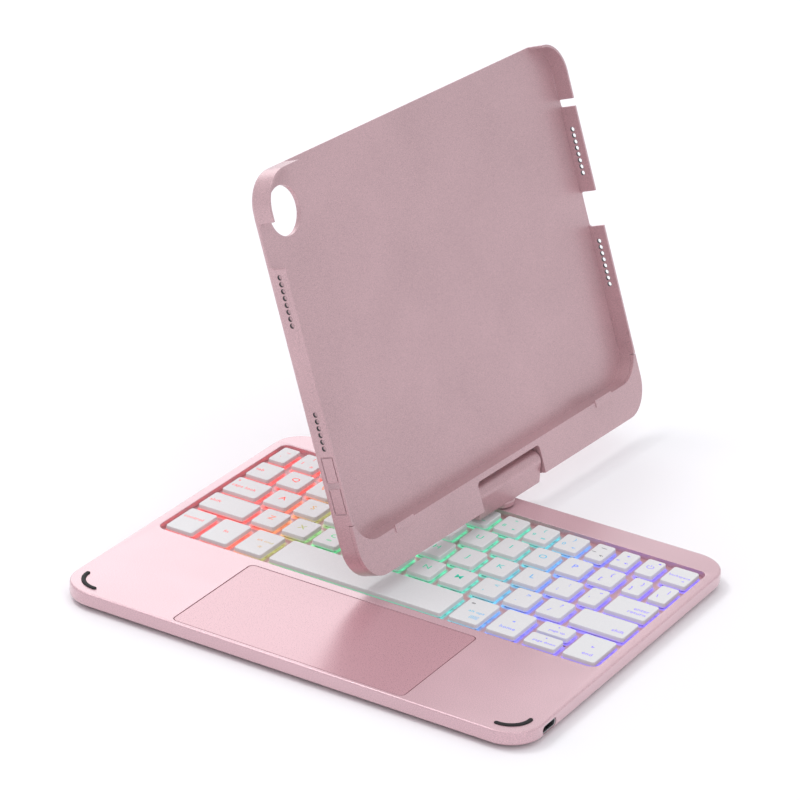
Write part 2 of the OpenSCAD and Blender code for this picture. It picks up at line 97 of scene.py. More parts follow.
def wire(tree: bpy.types.NodeTree, node: bpy.types.Node, inputs: dict) -> None:
    """Sets a node's inputs, or links them where a value is a socket."""
    for key, value in inputs.items():
        if isinstance(value, Socket):
            tree.links.new(value, node.inputs[key])
        else:
            node.inputs[key].default_value = value


def new_node(
    tree: bpy.types.NodeTree, kind: str, inputs: dict | None = None, **settings: object
) -> bpy.types.Node:
    """Adds a node.

    Args:
        tree: the tree to add to.
        kind: the node's type.
        inputs: socket name or index to a value or to a socket to link from.
        **settings: properties of the node.

    Returns:
        The node.
    """
    node = tree.nodes.new(kind)
    for key, value in settings.items():
        setattr(node, key, value)
    wire(tree, node, inputs or {})
    return node


class NodeBook:
    """A material whose nodes are added by short calls."""

    def __init__(self, name: str) -> None:
        """Makes the material with one Principled shader.

        Args:
            name: the material's name.
        """
        self.material = bpy.data.materials.new(name)
        self.material.use_nodes = True
        self.tree = self.material.node_tree
        self.tree.nodes.clear()
        self.shader = self.add("BsdfPrincipled")
        self.add("OutputMaterial", {"Surface": self.shader.outputs["BSDF"]})
        self.coords = self.add("TexCoord").outputs["Object"]

    def add(self, kind: str, inputs: dict | None = None, **settings: object) -> bpy.types.Node:
        """Adds a shader node."""
        return new_node(self.tree, "ShaderNode" + kind, inputs, **settings)

    def feed(self, inputs: dict) -> None:
        """Links or sets the shader's sockets."""
        wire(self.tree, self.shader, inputs)

    def math(self, operation: str, *values: object) -> Socket:
        """Adds a Math node and returns its result."""
        return self.add("Math", dict(enumerate(values)), operation=operation).outputs[0]

    def noise(self, scale: float, detail: float = 2.0, distortion: float = 0.0) -> Socket:
        """Adds a noise texture on the object's coordinates and returns its factor."""
        inputs = {"Scale": scale, "Detail": detail, "Distortion": distortion}
        return self.add("TexNoise", {"Vector": self.coords, **inputs}).outputs["Fac"]

    def remap(
        self, value: Socket, low: float, high: float, to_low: float, to_high: float
    ) -> Socket:
        """Maps a value from one range to another, clamped."""
        inputs = {"From Min": low, "From Max": high, "To Min": to_low, "To Max": to_high}
        return self.add("MapRange", {"Value": value, **inputs}).outputs["Result"]

    def vary(self, noise: Socket, low: float, high: float) -> Socket:
        """Maps a noise's usual span to a range."""
        return self.remap(noise, NOISE_LOW, NOISE_HIGH, low, high)

    def ramp(self, value: Socket, stops: Sequence[tuple[float, Colour]]) -> Socket:
        """Adds a colour ramp with the given stops and returns its colour."""
        node = self.add("ValToRGB", {"Fac": value})
        band = node.color_ramp
        while len(band.elements) < len(stops):
            band.elements.new(0.5)
        for element, (position, colour) in zip(band.elements, stops):
            element.position = position
            element.color = (*colour, 1.0)
        return node.outputs["Color"]

    def cloud(self, noise: Socket, colour: Colour, low: float, high: float) -> Socket:
        """Varies a colour with a noise, between two factors."""
        return self.ramp(noise, [(NOISE_LOW, tint(colour, low)), (NOISE_HIGH, tint(colour, high))])

    def mix(self, factor: object, first: object, second: object) -> Socket:
        """Blends two colours and returns the result."""
        inputs = {"Factor": factor, "A": first, "B": second}
        return self.add("Mix", inputs, data_type="RGBA").outputs["Result"]

    def bump(self, height: Socket, strength: float, distance: float) -> None:
        """Feeds a height into the shader's normal."""
        node = self.add("Bump", {"Height": height, "Strength": strength, "Distance": distance})
        self.feed({"Normal": node.outputs["Normal"]})


def tint(colour: Colour, factor: float) -> Colour:
    """Returns a colour made lighter or darker by a factor."""
    return tuple(min(1.0, c * factor) for c in colour)


@dataclass(frozen=True)
class MetalPaint:
    """Satin metallic paint with fine flakes, soft clouding and a slight orange peel."""

    name: str
    colour: Colour
    metallic: float = 0.3
    roughness: float = 0.33
    flake: float = 0.2
    flake_scale: float = 3000.0
    coat: float = 0.9
    coat_roughness: float = 0.24
    peel: float = 0.3

    def make(self) -> Material:
        """Builds the material."""
        book = NodeBook(self.name)
        flakes = book.noise(self.flake_scale, 1.0)
        clouds = book.noise(28.0, 3.0, 0.4)
        shares = book.math("MULTIPLY", flakes, 0.8), book.math("MULTIPLY", clouds, 0.2)
        dark, pale = tint(self.colour, 1 - self.flake), tint(self.colour, 1 + self.flake)
        stops = [(NOISE_LOW, dark), (0.5, self.colour), (NOISE_HIGH, pale)]
        book.feed(
            {
                "Base Color": book.ramp(book.math("ADD", *shares), stops),
                "Metallic": self.metallic,
                "Roughness": book.vary(flakes, self.roughness - 0.05, self.roughness + 0.07),
                "Coat Weight": self.coat,
                "Coat Roughness": self.coat_roughness,
            }
        )
        book.bump(flakes, self.peel, 0.00004)
        return book.material


@dataclass(frozen=True)
class PlainFinish:
    """A moulded or bare surface with slight clouding and a fine texture."""

    name: str
    colour: Colour
    metallic: float = 0.0
    roughness: float = 0.5
    grain_scale: float = 2500.0
    spread: float = 0.08
    bump: float = 0.1
    glow: float = 0.0

    def make(self) -> Material:
        """Builds the material."""
        book = NodeBook(self.name)
        grain = book.noise(self.grain_scale, 2.0)
        book.feed(
            {
                "Base Color": book.cloud(grain, self.colour, 1 - self.spread, 1 + self.spread),
                "Metallic": self.metallic,
                "Roughness": book.vary(grain, self.roughness - 0.06, self.roughness + 0.06),
            }
        )
        book.bump(grain, self.bump, 0.00005)
        if self.glow:
            book.feed({"Emission Color": (*self.colour, 1.0), "Emission Strength": self.glow})
        return book.material


@dataclass(frozen=True)
class BrushedMetal:
    """Bare metal with fine lines along one direction."""

    name: str
    colour: Colour
    roughness: float = 0.32
    stretch: Colour = (60.0, 4000.0, 4000.0)

    def make(self) -> Material:
        """Builds the material."""
        book = NodeBook(self.name)
        mapping = book.add("Mapping", {"Vector": book.coords, "Scale": self.stretch})
        inputs = {"Vector": mapping.outputs[0], "Scale": 1.0, "Detail": 2.0}
        lines = book.add("TexNoise", inputs).outputs["Fac"]
        book.feed(
            {
                "Base Color": book.cloud(lines, self.colour, 0.85, 1.1),
                "Metallic": 1.0,
                "Roughness": book.vary(lines, self.roughness - 0.08, self.roughness + 0.1),
            }
        )
        book.bump(lines, 0.15, 0.00002)
        return book.material


@dataclass(frozen=True)
class Rainbow:
    """Colours of the backlight across the keyboard, from the left edge to the right."""

    half_width: float = 92 * MM
    stops: tuple[tuple[float, Colour], ...] = (
        (-84, (1.0, 0.06, 0.07)),
        (-64, (1.0, 0.09, 0.06)),
        (-57, (0.95, 0.26, 0.06)),
        (-49, (0.5, 0.42, 0.08)),
        (-37, (0.05, 0.66, 0.24)),
        (8, (0.03, 0.62, 0.36)),
        (24, (0.03, 0.58, 0.46)),
        (36, (0.05, 0.5, 0.72)),
        (48, (0.13, 0.24, 0.95)),
        (60, (0.2, 0.15, 0.95)),
        (86, (0.24, 0.14, 0.95)),
    )

    def colour(self, book: NodeBook) -> Socket:
        """Adds the nodes that give the backlight's colour at each place, and returns its socket."""
        split = book.add("SeparateXYZ", {"Vector": book.coords})
        across = book.remap(split.outputs["X"], -self.half_width, self.half_width, 0.0, 1.0)
        span = 2 * self.half_width / MM
        return book.ramp(across, [(0.5 + x / span, c) for x, c in self.stops])


@dataclass(frozen=True)
class KeyCapFinish:
    """Pale matt plastic, lit through by the backlight along its lower edge."""

    name: str
    colour: Colour
    foot: float
    top: float
    rainbow: Rainbow = field(default_factory=Rainbow)

    def make(self) -> Material:
        """Builds the material."""
        book = NodeBook(self.name)
        grain = book.noise(2600.0, 2.0)
        split = book.add("SeparateXYZ", {"Vector": book.coords})
        height = book.remap(split.outputs["Z"], self.foot, self.top, 0.0, 1.0)
        light = self.rainbow.colour(book)
        low = book.math("POWER", book.math("SUBTRACT", 1.0, height), 6.0)
        pale = book.cloud(grain, self.colour, 0.965, 1.02)
        book.feed(
            {
                "Base Color": book.mix(book.math("MULTIPLY", low, 0.55), pale, light),
                "Roughness": 0.52,
                "Emission Color": light,
                "Emission Strength": book.math("MULTIPLY", low, 0.8),
            }
        )
        book.bump(grain, 0.08, 0.00004)
        return book.material


@dataclass(frozen=True)
class LegendFinish:
    """Clear legend in a key top, lit from below."""

    name: str
    strength: float
    rainbow: Rainbow = field(default_factory=Rainbow)

    def make(self) -> Material:
        """Builds the material."""
        book = NodeBook(self.name)
        paled = book.mix(0.12, self.rainbow.colour(book), (0.1, 0.1, 0.1, 1.0))
        soft = book.noise(1500.0, 1.0)
        book.feed(
            {
                "Base Color": paled,
                "Roughness": 0.5,
                "Emission Color": paled,
                "Emission Strength": book.vary(soft, self.strength * 0.85, self.strength * 1.1),
            }
        )
        return book.material


@dataclass(frozen=True)
class LitPlate:
    """Painted plate round the keys, on which the backlight fades with distance from a key."""

    name: str
    colour: Colour
    strength: float
    rainbow: Rainbow = field(default_factory=Rainbow)

    def make(self) -> Material:
        """Builds the material."""
        book = NodeBook(self.name)
        light = self.rainbow.colour(book)
        near = book.add("Attribute", attribute_name="lit").outputs["Fac"]
        patches = book.remap(book.noise(420.0, 1.0), 0.35, 0.65, 0.45, 1.3)
        fall = book.math("MULTIPLY", book.math("POWER", near, 1.7), patches)
        share = book.math("MINIMUM", fall, 1.0)
        book.feed(
            {
                "Base Color": book.mix(share, (*self.colour, 1.0), light),
                "Roughness": 0.4,
                "Metallic": 0.3,
                "Emission Color": book.mix(0.25, light, (1.0, 1.0, 1.0, 1.0)),
                "Emission Strength": book.math("MULTIPLY", fall, self.strength),
            }
        )
        return book.material


@dataclass(frozen=True)
class CircuitBoard:
    """Solder mask with faint copper tracks under it."""

    name: str
    colour: Colour

    def make(self) -> Material:
        """Builds the material."""
        book = NodeBook(self.name)
        inputs = {"Vector": book.coords, "Scale": 260.0, "Mortar Size": 0.06}
        tracks = book.add("TexBrick", inputs).outputs["Fac"]
        copper = (*tint(self.colour, 1.9), 1.0)
        book.feed(
            {
                "Base Color": book.mix(tracks, (*self.colour, 1.0), copper),
                "Roughness": book.vary(book.noise(900.0), 0.25, 0.42),
            }
        )
        book.bump(tracks, 0.2, 0.00003)
        return book.material


class Finishes:
    """Every material of the object, by slot or by use."""

    def __init__(self) -> None:
        """Builds the materials."""
        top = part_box("deck")[1].z
        nickel, steel = (0.62, 0.62, 0.64), (0.55, 0.55, 0.57)
        self.rose = MetalPaint("rose_metal_paint", (0.65, 0.42, 0.462)).make()
        self.tray = MetalPaint(
            "rose_tray_paint", (0.58, 0.38, 0.405), 0.4, 0.4, coat=0.5, peel=0.15
        ).make()
        self.hinge = MetalPaint(
            "rose_hinge_paint", (0.55, 0.345, 0.37), 0.45, 0.36, coat=0.5
        ).make()
        self.pad = MetalPaint(
            "rose_pad_paint",
            (0.555, 0.298, 0.34),
            metallic=0.26,
            roughness=0.3,
            flake=0.06,
            coat=0.95,
            coat_roughness=0.25,
            peel=0.03,
        ).make()
        self.cap = KeyCapFinish(
            "key_cap_plastic", (0.745, 0.75, 0.755), top - 1.7 * MM, top + 0.2 * MM
        ).make()
        self.legend = LegendFinish("legend_lit", 0.3).make()
        self.legend_dark = PlainFinish("legend_unlit", (0.12, 0.12, 0.13), roughness=0.6).make()
        self.glow = LitPlate("key_plate_glow", (0.64, 0.43, 0.46), 0.58).make()
        self.port = BrushedMetal("port_nickel", nickel, roughness=0.28).make()
        self.steel = BrushedMetal("plain_steel", steel).make()
        self.tongue = PlainFinish("port_tongue", (0.03, 0.03, 0.035), roughness=0.4).make()
        self.rubber = PlainFinish(
            "black_rubber", (0.009, 0.008, 0.009), 0.0, 0.7, 3500.0, 0.3, 0.3
        ).make()
        self.by_slot = {
            Slot.ROSE: self.rose,
            Slot.PAD: self.pad,
            Slot.PLATE: LitPlate("key_plate_paint", (0.62, 0.37, 0.38), 0.0).make(),
            Slot.HINGE: self.hinge,
            Slot.KEY: self.cap,
            Slot.SHEET: PlainFinish("milky_sheet", (0.8, 0.84, 0.86), 0.0, 0.3, bump=0.03).make(),
            Slot.WHITE: PlainFinish("white_nylon", (0.8, 0.8, 0.8)).make(),
            Slot.BOARD: CircuitBoard("solder_mask", (0.012, 0.1, 0.045)).make(),
            Slot.FOIL: PlainFinish(
                "cell_foil", (0.55, 0.55, 0.58), 0.6, 0.4, 300.0, bump=0.4
            ).make(),
            Slot.PORT: self.port,
            Slot.STEEL: self.steel,
            Slot.RUBBER: self.rubber,
            Slot.LENS: PlainFinish("light_lens", (0.8, 0.82, 0.85), 0.0, 0.2, glow=0.3).make(),
        }

    def dress_frame(self) -> None:
        """Gives every CAD node the material of its slot."""
        slots = {s.value: m for s, m in self.by_slot.items()}
        for part in frame["record"]["subparts"]:
            obj = frame["nodes"][part["node"]]
            obj.data.materials.clear()
            obj.data.materials.append(slots[part["material_slot"]])


# ------------------------------------------------------------------ mesh tools


def rounded_rect(low: Point, high: Point, radius: float, steps: int = 10) -> list[Point]:
    """Points of a rectangle with rounded corners, anticlockwise.

    Args:
        low: lowest corner.
        high: highest corner.
        radius: corner radius.
        steps: segments in each corner.

    Returns:
        The points, always 4 * (steps + 1) of them.
    """
    radius = max(radius, 1e-6)
    corners = [
        (high[0] - radius, high[1] - radius, 0.0),
        (low[0] + radius, high[1] - radius, 90.0),
        (low[0] + radius, low[1] + radius, 180.0),
        (high[0] - radius, low[1] + radius, 270.0),
    ]
    points = []
    for x, y, start in corners:
        for i in range(steps + 1):
            a = math.radians(start + 90.0 * i / steps)
            points.append((x + radius * math.cos(a), y + radius * math.sin(a)))
    return points


def inset_rect(
    low: Point, high: Point, radius: float, inset: float, steps: int = 10
) -> list[Point]:
    """Rounded rectangle pulled in by an inset, or pushed out by a negative one."""
    first, last = (low[0] + inset, low[1] + inset), (high[0] - inset, high[1] - inset)
    return rounded_rect(first, last, max(radius - inset, 0.05 * MM), steps)


def block_rect(half_w: float, half_h: float, radius: float, steps: int = 8) -> list[Point]:
    """Rounded rectangle round the origin."""
    return rounded_rect((-half_w, -half_h), (half_w, half_h), radius, steps)


def polar(centre: Point, radius: float, angle: float) -> Point:
    """Point at an angle, in radians, on a circle."""
    return centre[0] + radius * math.cos(angle), centre[1] + radius * math.sin(angle)


def circle(centre: Point, radius: float, steps: int = 48) -> list[Point]:
    """Points of a circle, anticlockwise."""
    return [polar(centre, radius, math.tau * i / steps) for i in range(steps)]


def fillet(radius: float, steps: int = 5) -> list[Point]:
    """Steps of a quarter round as (inset, drop from the top), from the wall to the top."""
    return [
        (radius * (1 - math.cos(a)), radius * (1 - math.sin(a)))
        for a in (math.pi / 2 * i / steps for i in range(steps + 1))
    ]


def link(name: str, data: bpy.types.ID) -> Object:
    """Makes an object of some data and links it to the scene."""
    obj = bpy.data.objects.new(name, data)
    bpy.context.scene.collection.objects.link(obj)
    return obj


class Shell:
    """Gathers rings of points into one closed mesh."""

    def __init__(self, place: Matrix | None = None) -> None:
        """Starts an empty shell.

        Args:
            place: matrix from the shell's own coordinates to the frame's.
        """
        self.place = place or Matrix.Identity(4)
        self.points: list[Vector] = []
        self.faces: list[list[int]] = []

    def ring(self, outline: Iterable[Sequence[float]], z: float | None = None) -> list[int]:
        """Adds a ring of points and returns their numbers."""
        start = len(self.points)
        for p in outline:
            self.points.append(Vector(p) if z is None else Vector((p[0], p[1], z)))
        return list(range(start, len(self.points)))

    def bridge(self, first: list[int], second: list[int]) -> None:
        """Joins two rings of equal length with quads."""
        n = len(first)
        for i in range(n):
            j = (i + 1) % n
            self.faces.append([first[i], first[j], second[j], second[i]])

    def loft(self, rings: Sequence[list[int]]) -> None:
        """Joins each ring to the next."""
        for a, b in zip(rings, rings[1:]):
            self.bridge(a, b)

    def close(self, rings: Sequence[list[int]]) -> None:
        """Joins each ring to the next and fills the ends."""
        self.loft(rings)
        self.seal(rings)

    def seal(self, rings: Sequence[list[int]]) -> None:
        """Fills the first and the last of rings that are already joined."""
        self.cap(rings[0])
        self.cap(rings[-1])

    def cap(self, outer: list[int], *holes: list[int]) -> None:
        """Fills a ring, leaving holes open."""
        if not holes:
            self.faces.append(list(outer))
            return
        loops = [outer, *holes]
        flat = [i for loop in loops for i in loop]
        for tri in tessellate_polygon([[self.points[i] for i in loop] for loop in loops]):
            self.faces.append([flat[i] for i in tri])

    def tower(
        self, low: Point, high: Point, radius: float, profile: Sequence[Point], steps: int = 10
    ) -> list[list[int]]:
        """Adds joined rings of a rounded rectangle, one for each (inset, z) of a profile."""
        rings = [self.ring(inset_rect(low, high, radius, inset, steps), z) for inset, z in profile]
        self.loft(rings)
        return rings

    def build(self, name: str, material: Material) -> Object:
        """Makes the object with its place in its mesh.

        Args:
            name: the piece's name.
            material: its material.

        Returns:
            The object, linked to the scene.
        """
        mesh = bpy.data.meshes.new(name)
        mesh.from_pydata([self.place @ p for p in self.points], [], self.faces)
        work = bmesh.new()
        work.from_mesh(mesh)
        bmesh.ops.remove_doubles(work, verts=work.verts, dist=1e-7)
        bmesh.ops.recalc_face_normals(work, faces=work.faces)
        work.to_mesh(mesh)
        work.free()
        mesh.materials.append(material)
        return link(name, mesh)


def flat_piece(
    name: str, points: Sequence[Vector], faces: Sequence[Sequence[int]], material: Material
) -> Object:
    """Makes a level sheet of faces that all look up."""
    mesh = bpy.data.meshes.new(name)
    mesh.from_pydata(points, [], faces)
    for f in mesh.polygons:
        if f.normal.z < 0:
            f.flip()
    mesh.materials.append(material)
    return link(name, mesh)


def merged_copy(node: str, name: str) -> Object:
    """Copies a CAD node into a new object whose triangles are welded and joined into flat faces."""
    mesh = frame["nodes"][node].data.copy()
    mesh.name = name
    work = bmesh.new()
    work.from_mesh(mesh)
    bmesh.ops.remove_doubles(work, verts=work.verts, dist=2e-6)
    flat = math.radians(0.6)
    bmesh.ops.dissolve_limit(work, angle_limit=flat, verts=work.verts, edges=work.edges)
    work.to_mesh(mesh)
    work.free()
    for key in list(mesh.attributes.keys()):
        attribute = mesh.attributes.get(key)
        if attribute and not attribute.is_required and "sharp" in attribute.name:
            mesh.attributes.remove(attribute)
    return link(name, mesh)


def apply_modifiers(obj: Object) -> None:
    """Turns an object's modifiers into plain mesh."""
    bpy.context.view_layer.update()
    graph = bpy.context.evaluated_depsgraph_get()
    made = bpy.data.meshes.new_from_object(obj.evaluated_get(graph), depsgraph=graph)
    obj.modifiers.clear()
    made.name = obj.name
    obj.data = made


def settle(obj: Object, smooth: float) -> None:
    """Shades an object smooth but for edges sharper than an angle, and makes that plain mesh."""
    shade(obj.data, smooth)
    obj.modifiers.new("faces_flat", "WEIGHTED_NORMAL").keep_sharp = True
    apply_modifiers(obj)


def shade(mesh: bpy.types.Mesh, degrees: float) -> None:
    """Marks faces smooth and edges sharper than an angle as sharp."""
    work = bmesh.new()
    work.from_mesh(mesh)
    for f in work.faces:
        f.smooth = True
    for e in work.edges:
        e.smooth = len(e.link_faces) == 2 and e.calc_face_angle(0.0) < math.radians(degrees)
    work.to_mesh(mesh)
    work.free()


def combine(obj: Object, tool: Object, operation: str) -> None:
    """Cuts, joins or intersects an object with another, which is then removed."""
    boolean = obj.modifiers.new(operation.lower(), "BOOLEAN")
    boolean.operation = operation
    boolean.solver = "EXACT"
    boolean.object = tool
    apply_modifiers(obj)
    bpy.data.objects.remove(tool)


def soften(obj: Object, width: float, segments: int = 2, angle: float = 35.0) -> None:
    """Rounds an object's sharp edges."""
    bevel = obj.modifiers.new("edges", "BEVEL")
    bevel.width = width
    bevel.segments = segments
    bevel.limit_method = "ANGLE"
    bevel.angle_limit = math.radians(angle)
    bevel.use_clamp_overlap = False
    bevel.loop_slide = False
    apply_modifiers(obj)


def paint(obj: Object, material: Material) -> None:
    """Gives an object one material."""
    obj.data.materials.clear()
    obj.data.materials.append(material)
    for f in obj.data.polygons:
        f.material_index = 0


def seat(obj: Object, body: str, slot: Slot, *nodes: str, smooth: float = SMOOTH) -> None:
    """Finishes a piece, which rides on a body and stands for CAD nodes.

    Args:
        obj: the piece.
        body: the body's name.
        slot: the record's material slot; not used.
        *nodes: the CAD nodes it replaces.
        smooth: greatest angle, in degrees, that is shaded smooth; 0 leaves the mesh as it is.
    """
    if smooth:
        settle(obj, smooth)
    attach(obj, body)
    if nodes:
        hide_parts(*nodes)
    LOG.info("%s: %d faces, on %s", obj.name, len(obj.data.polygons), body)


# ------------------------------------------------------------------ places


class Places:
    """Matrices of the three bodies' own coordinates, read from the record."""

    def __init__(self) -> None:
        """Reads the joints and the tray's face from the record."""
        low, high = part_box("deck")
        self.base = Matrix.Translation((0.0, (low.y + high.y) / 2, 0.0))
        joints = {j["name"]: j for j in frame["joints"]}
        along = Vector(joints["hinge_tilt"]["axis"]).normalized()
        pivot = Vector(joints["hinge_tilt"]["pos_m"])
        swivel = Vector(joints["hinge_swivel"]["pos_m"])
        turn = math.atan2(along.y, along.x)
        self.swivel = Matrix.Translation((swivel.x, swivel.y, 0.0)) @ Matrix.Rotation(turn, 4, "Z")
        mounts = {m["name"]: m for m in frame["record"]["mounts"]}
        back = -Vector(mounts["tablet_rest"]["axis"]).normalized()
        up = along.cross(back)
        self.tray = Matrix.Translation(pivot) @ Matrix((along, back, up)).transposed().to_4x4()


# ------------------------------------------------------------------ the base


@dataclass
class KeyboardBase:
    """Deck, bottom cover and what shows on them."""

    finishes: Finishes
    places: Places
    half_w: float = 94 * MM
    half_d: float = 80 * MM
    corner: float = 13 * MM
    deck_z: float = 7 * MM
    foot_z: float = 1 * MM
    wall: float = 1.2 * MM
    edge: float = 0.75 * MM
    well_low: Point = (-90.1 * MM, -21.6 * MM)
    well_high: Point = (90.1 * MM, 67.3 * MM)
    well_corner: float = 3.5 * MM
    plate_z: float = 4.6 * MM
    pad_low: Point = (-46.2 * MM, -78.1 * MM)
    pad_high: Point = (46.2 * MM, -26.3 * MM)
    port_y: float = -61.9 * MM
    port_z: float = 4.15 * MM

    def build(self) -> None:
        """Builds every piece of the base."""
        self.deck()
        self.bottom_cover()
        self.trackpad()
        self.bumpers()
        self.feet()
        self.port()
        self.screws()

    def deck(self) -> None:
        """Deck with a rounded edge, the key well, the trackpad's window and the port's slot."""
        low, high = (-self.half_w, -self.half_d), (self.half_w, self.half_d)
        shell = Shell(self.places.base)
        under = self.foot_z + 1 * MM
        roof = self.deck_z - self.wall
        skirt = [(0.42, 0.0), (0.16, 0.2), (0.03, 0.55), (0.0, 1.0)]
        outer = [(self.wall, under), *[(x * MM, under + z * MM) for x, z in skirt]]
        outer += [(inset, self.deck_z - drop) for inset, drop in fillet(self.edge, 7)]
        rings = shell.tower(low, high, self.corner, outer, 16)
        lip = 0.22 * MM
        steps = [(-lip, self.deck_z), (-0.1 * lip, self.deck_z - 0.55 * lip)]
        steps += [(0.0, self.deck_z - 1.2 * lip), (0.0, self.plate_z)]
        steps += [(-1 * MM, self.plate_z), (-1 * MM, roof)]
        well = shell.tower(self.well_low, self.well_high, self.well_corner, steps)
        gap = 0.25 * MM
        pad_low = (self.pad_low[0] - gap, self.pad_low[1] - gap)
        pad_high = (self.pad_high[0] + gap, self.pad_high[1] + gap)
        thin = [(-0.12 * MM, self.deck_z), (0.0, self.deck_z - 0.15 * MM), (0.0, roof)]
        pad = shell.tower(pad_low, pad_high, 2.2 * MM, thin, 8)
        spot = self.places.base.inverted() @ self.places.swivel.translation
        bore = [shell.ring(circle((spot.x, spot.y), 2.65 * MM), z) for z in (self.deck_z, roof)]
        shell.loft(bore)
        shell.cap(rings[-1], well[0], pad[0], bore[0])
        inner = shell.tower(low, high, self.corner, [(self.wall, under), (self.wall, roof)], 16)
        shell.cap(inner[-1], well[-1], pad[-1], bore[-1])
        obj = shell.build("deck_shell", self.finishes.rose)
        combine(obj, self.slot_tool(), "DIFFERENCE")
        paint(obj, self.finishes.rose)
        seat(obj, "base", Slot.ROSE, "deck", smooth=40)

    def port_ring(self, shell: Shell, outline: list[Point], x: float) -> list[int]:
        """Adds an outline round the port's axis, at a distance from the right wall's face."""
        return shell.ring([(self.half_w + x, self.port_y + y, self.port_z + z) for y, z in outline])

    def slot_tool(self) -> Object:
        """A lens-shaped block through the right wall, to cut with."""
        shell = Shell(self.places.base)
        half_h = 1.7 * MM
        outline = block_rect(4.75 * MM, half_h, half_h * 0.94)
        shell.close([self.port_ring(shell, outline, x) for x in (-2 * MM, 1 * MM)])
        return shell.build("slot_tool", self.finishes.rose)

    def bottom_cover(self) -> None:
        """Bottom cover with a rounded lower edge."""
        low, high = (-self.half_w, -self.half_d), (self.half_w, self.half_d)
        shell = Shell(self.places.base)
        top = self.foot_z + 1 * MM
        steps = [(2.2, 0.0), (1.7, 0.1), (1.3, 0.35), (1.08, 0.7)]
        profile = [(x * MM, self.foot_z + z * MM) for x, z in steps] + [(1.0 * MM, top)]
        shell.seal(shell.tower(low, high, self.corner, profile, 16))
        seat(shell.build("bottom_pan", self.finishes.rose), "base", Slot.ROSE, "bottom_cover")

    def trackpad(self) -> None:
        """Trackpad plate with a fine chamfer."""
        shell = Shell(self.places.base)
        top = self.deck_z - 0.05 * MM
        profile = [(0.0, self.deck_z - 1.2 * MM), (0.0, top - 0.16 * MM)]
        profile += [(0.05 * MM, top - 0.05 * MM), (0.16 * MM, top)]
        shell.seal(shell.tower(self.pad_low, self.pad_high, 2 * MM, profile, 8))
        seat(shell.build("trackpad_plate", self.finishes.pad), "trackpad", Slot.PAD, "trackpad")

    def bumpers(self) -> None:
        """Rubber arcs with a rounded top on the front corners."""
        arc = self.corner - 4.8 * MM
        centre = (self.half_w - self.corner, -self.half_d + self.corner)
        edge = [(0.36, 0.57), (0.66, 0.46), (0.8, 0.3), (0.8, -0.45)]
        section = [*[(-u, h) for u, h in edge[::-1]], (0.0, 0.6), *edge]
        steps, ends = 30, 5
        for side, name in ((1, "bumper_right"), (-1, "bumper_left")):
            shell = Shell(self.places.base)
            rings = []
            for i in range(-ends, steps + ends + 1):
                a = math.radians(-92 + 94 * min(max(i, 0), steps) / steps)
                over = min(i, 0) or max(i - steps, 0)
                # the ends close in a half round
                turn = math.pi / 2 * over / ends
                width = max(math.cos(turn), 0.02)
                along = 0.8 * MM * math.sin(turn)
                ring = []
                for u, h in section:
                    x, y = polar(centre, arc + u * MM * width, a)
                    lift = h if h < 0 else h * (0.45 + 0.55 * width)
                    x, y = x - along * math.sin(a), y + along * math.cos(a)
                    ring.append((side * x, y, self.deck_z + lift * MM))
                rings.append(shell.ring(ring))
            shell.close(rings)
            obj = shell.build(name, self.finishes.rubber)
            seat(obj, "base", Slot.RUBBER, "corner_bumpers")

    def feet(self) -> None:
        """Rubber pads with a rounded lower edge."""
        shell = Shell(self.places.base)
        profile = [(0.6 * MM, 0.0), (0.2 * MM, 0.12 * MM), (0.0, 0.45 * MM), (0.0, 1.3 * MM)]
        for x in (-70 * MM, 70 * MM):
            for y in (-68 * MM, 68 * MM):
                low, high = (x - 11 * MM, y - 3 * MM), (x + 11 * MM, y + 3 * MM)
                shell.seal(shell.tower(low, high, 2.9 * MM, profile, 8))
        seat(shell.build("foot_pads", self.finishes.rubber), "base", Slot.RUBBER, "feet")

    def port(self) -> None:
        """Nickel shell of the charging port with a rolled rim, and its dark tongue."""
        shell = Shell(self.places.base)
        outside = block_rect(4.5 * MM, 1.4 * MM, 1.35 * MM)
        rim = block_rect(4.35 * MM, 1.25 * MM, 1.2 * MM)
        inside = block_rect(4.2 * MM, 1.1 * MM, 1.05 * MM)
        walk = [(outside, -7.4), (outside, -0.3), (rim, -0.2), (inside, -0.3), (inside, -6.4)]
        shell.close([self.port_ring(shell, outline, x * MM) for outline, x in walk])
        seat(shell.build("port_shell", self.finishes.port), "base", Slot.PORT, "usb_port")
        tongue = Shell(self.places.base)
        rings = []
        for x, inset in ((-6.45 * MM, 0.0), (-1.7 * MM, 0.0), (-1.45 * MM, 0.12 * MM)):
            outline = block_rect(3.3 * MM - inset, 0.35 * MM - inset, 0.12 * MM, 3)
            rings.append(self.port_ring(tongue, outline, x))
        tongue.close(rings)
        seat(tongue.build("port_tongue", self.finishes.tongue), "base", Slot.PORT)

    def screws(self) -> None:
        """Cross-head screws in the bottom cover, placed by Geometry Nodes."""
        corners = frame["nodes"]["base_screws"].data.vertices
        groups: list[list[Point]] = []
        for c in sorted({(round(v.co.x, 4), round(v.co.y, 4)) for v in corners}):
            for g in groups:
                if math.dist(g[0], c) < 4 * MM:
                    g.append(c)
                    break
            else:
                groups.append([c])
        spots = []
        for g in groups:
            xs, ys = zip(*g)
            spots.append(((min(xs) + max(xs)) / 2, (min(ys) + max(ys)) / 2, self.foot_z))
        obj = ScatterTree("screw_heads", self.finishes.steel).screws(spots, 1.5 * MM, 0.5 * MM)
        seat(obj, "base", Slot.STEEL, "base_screws")


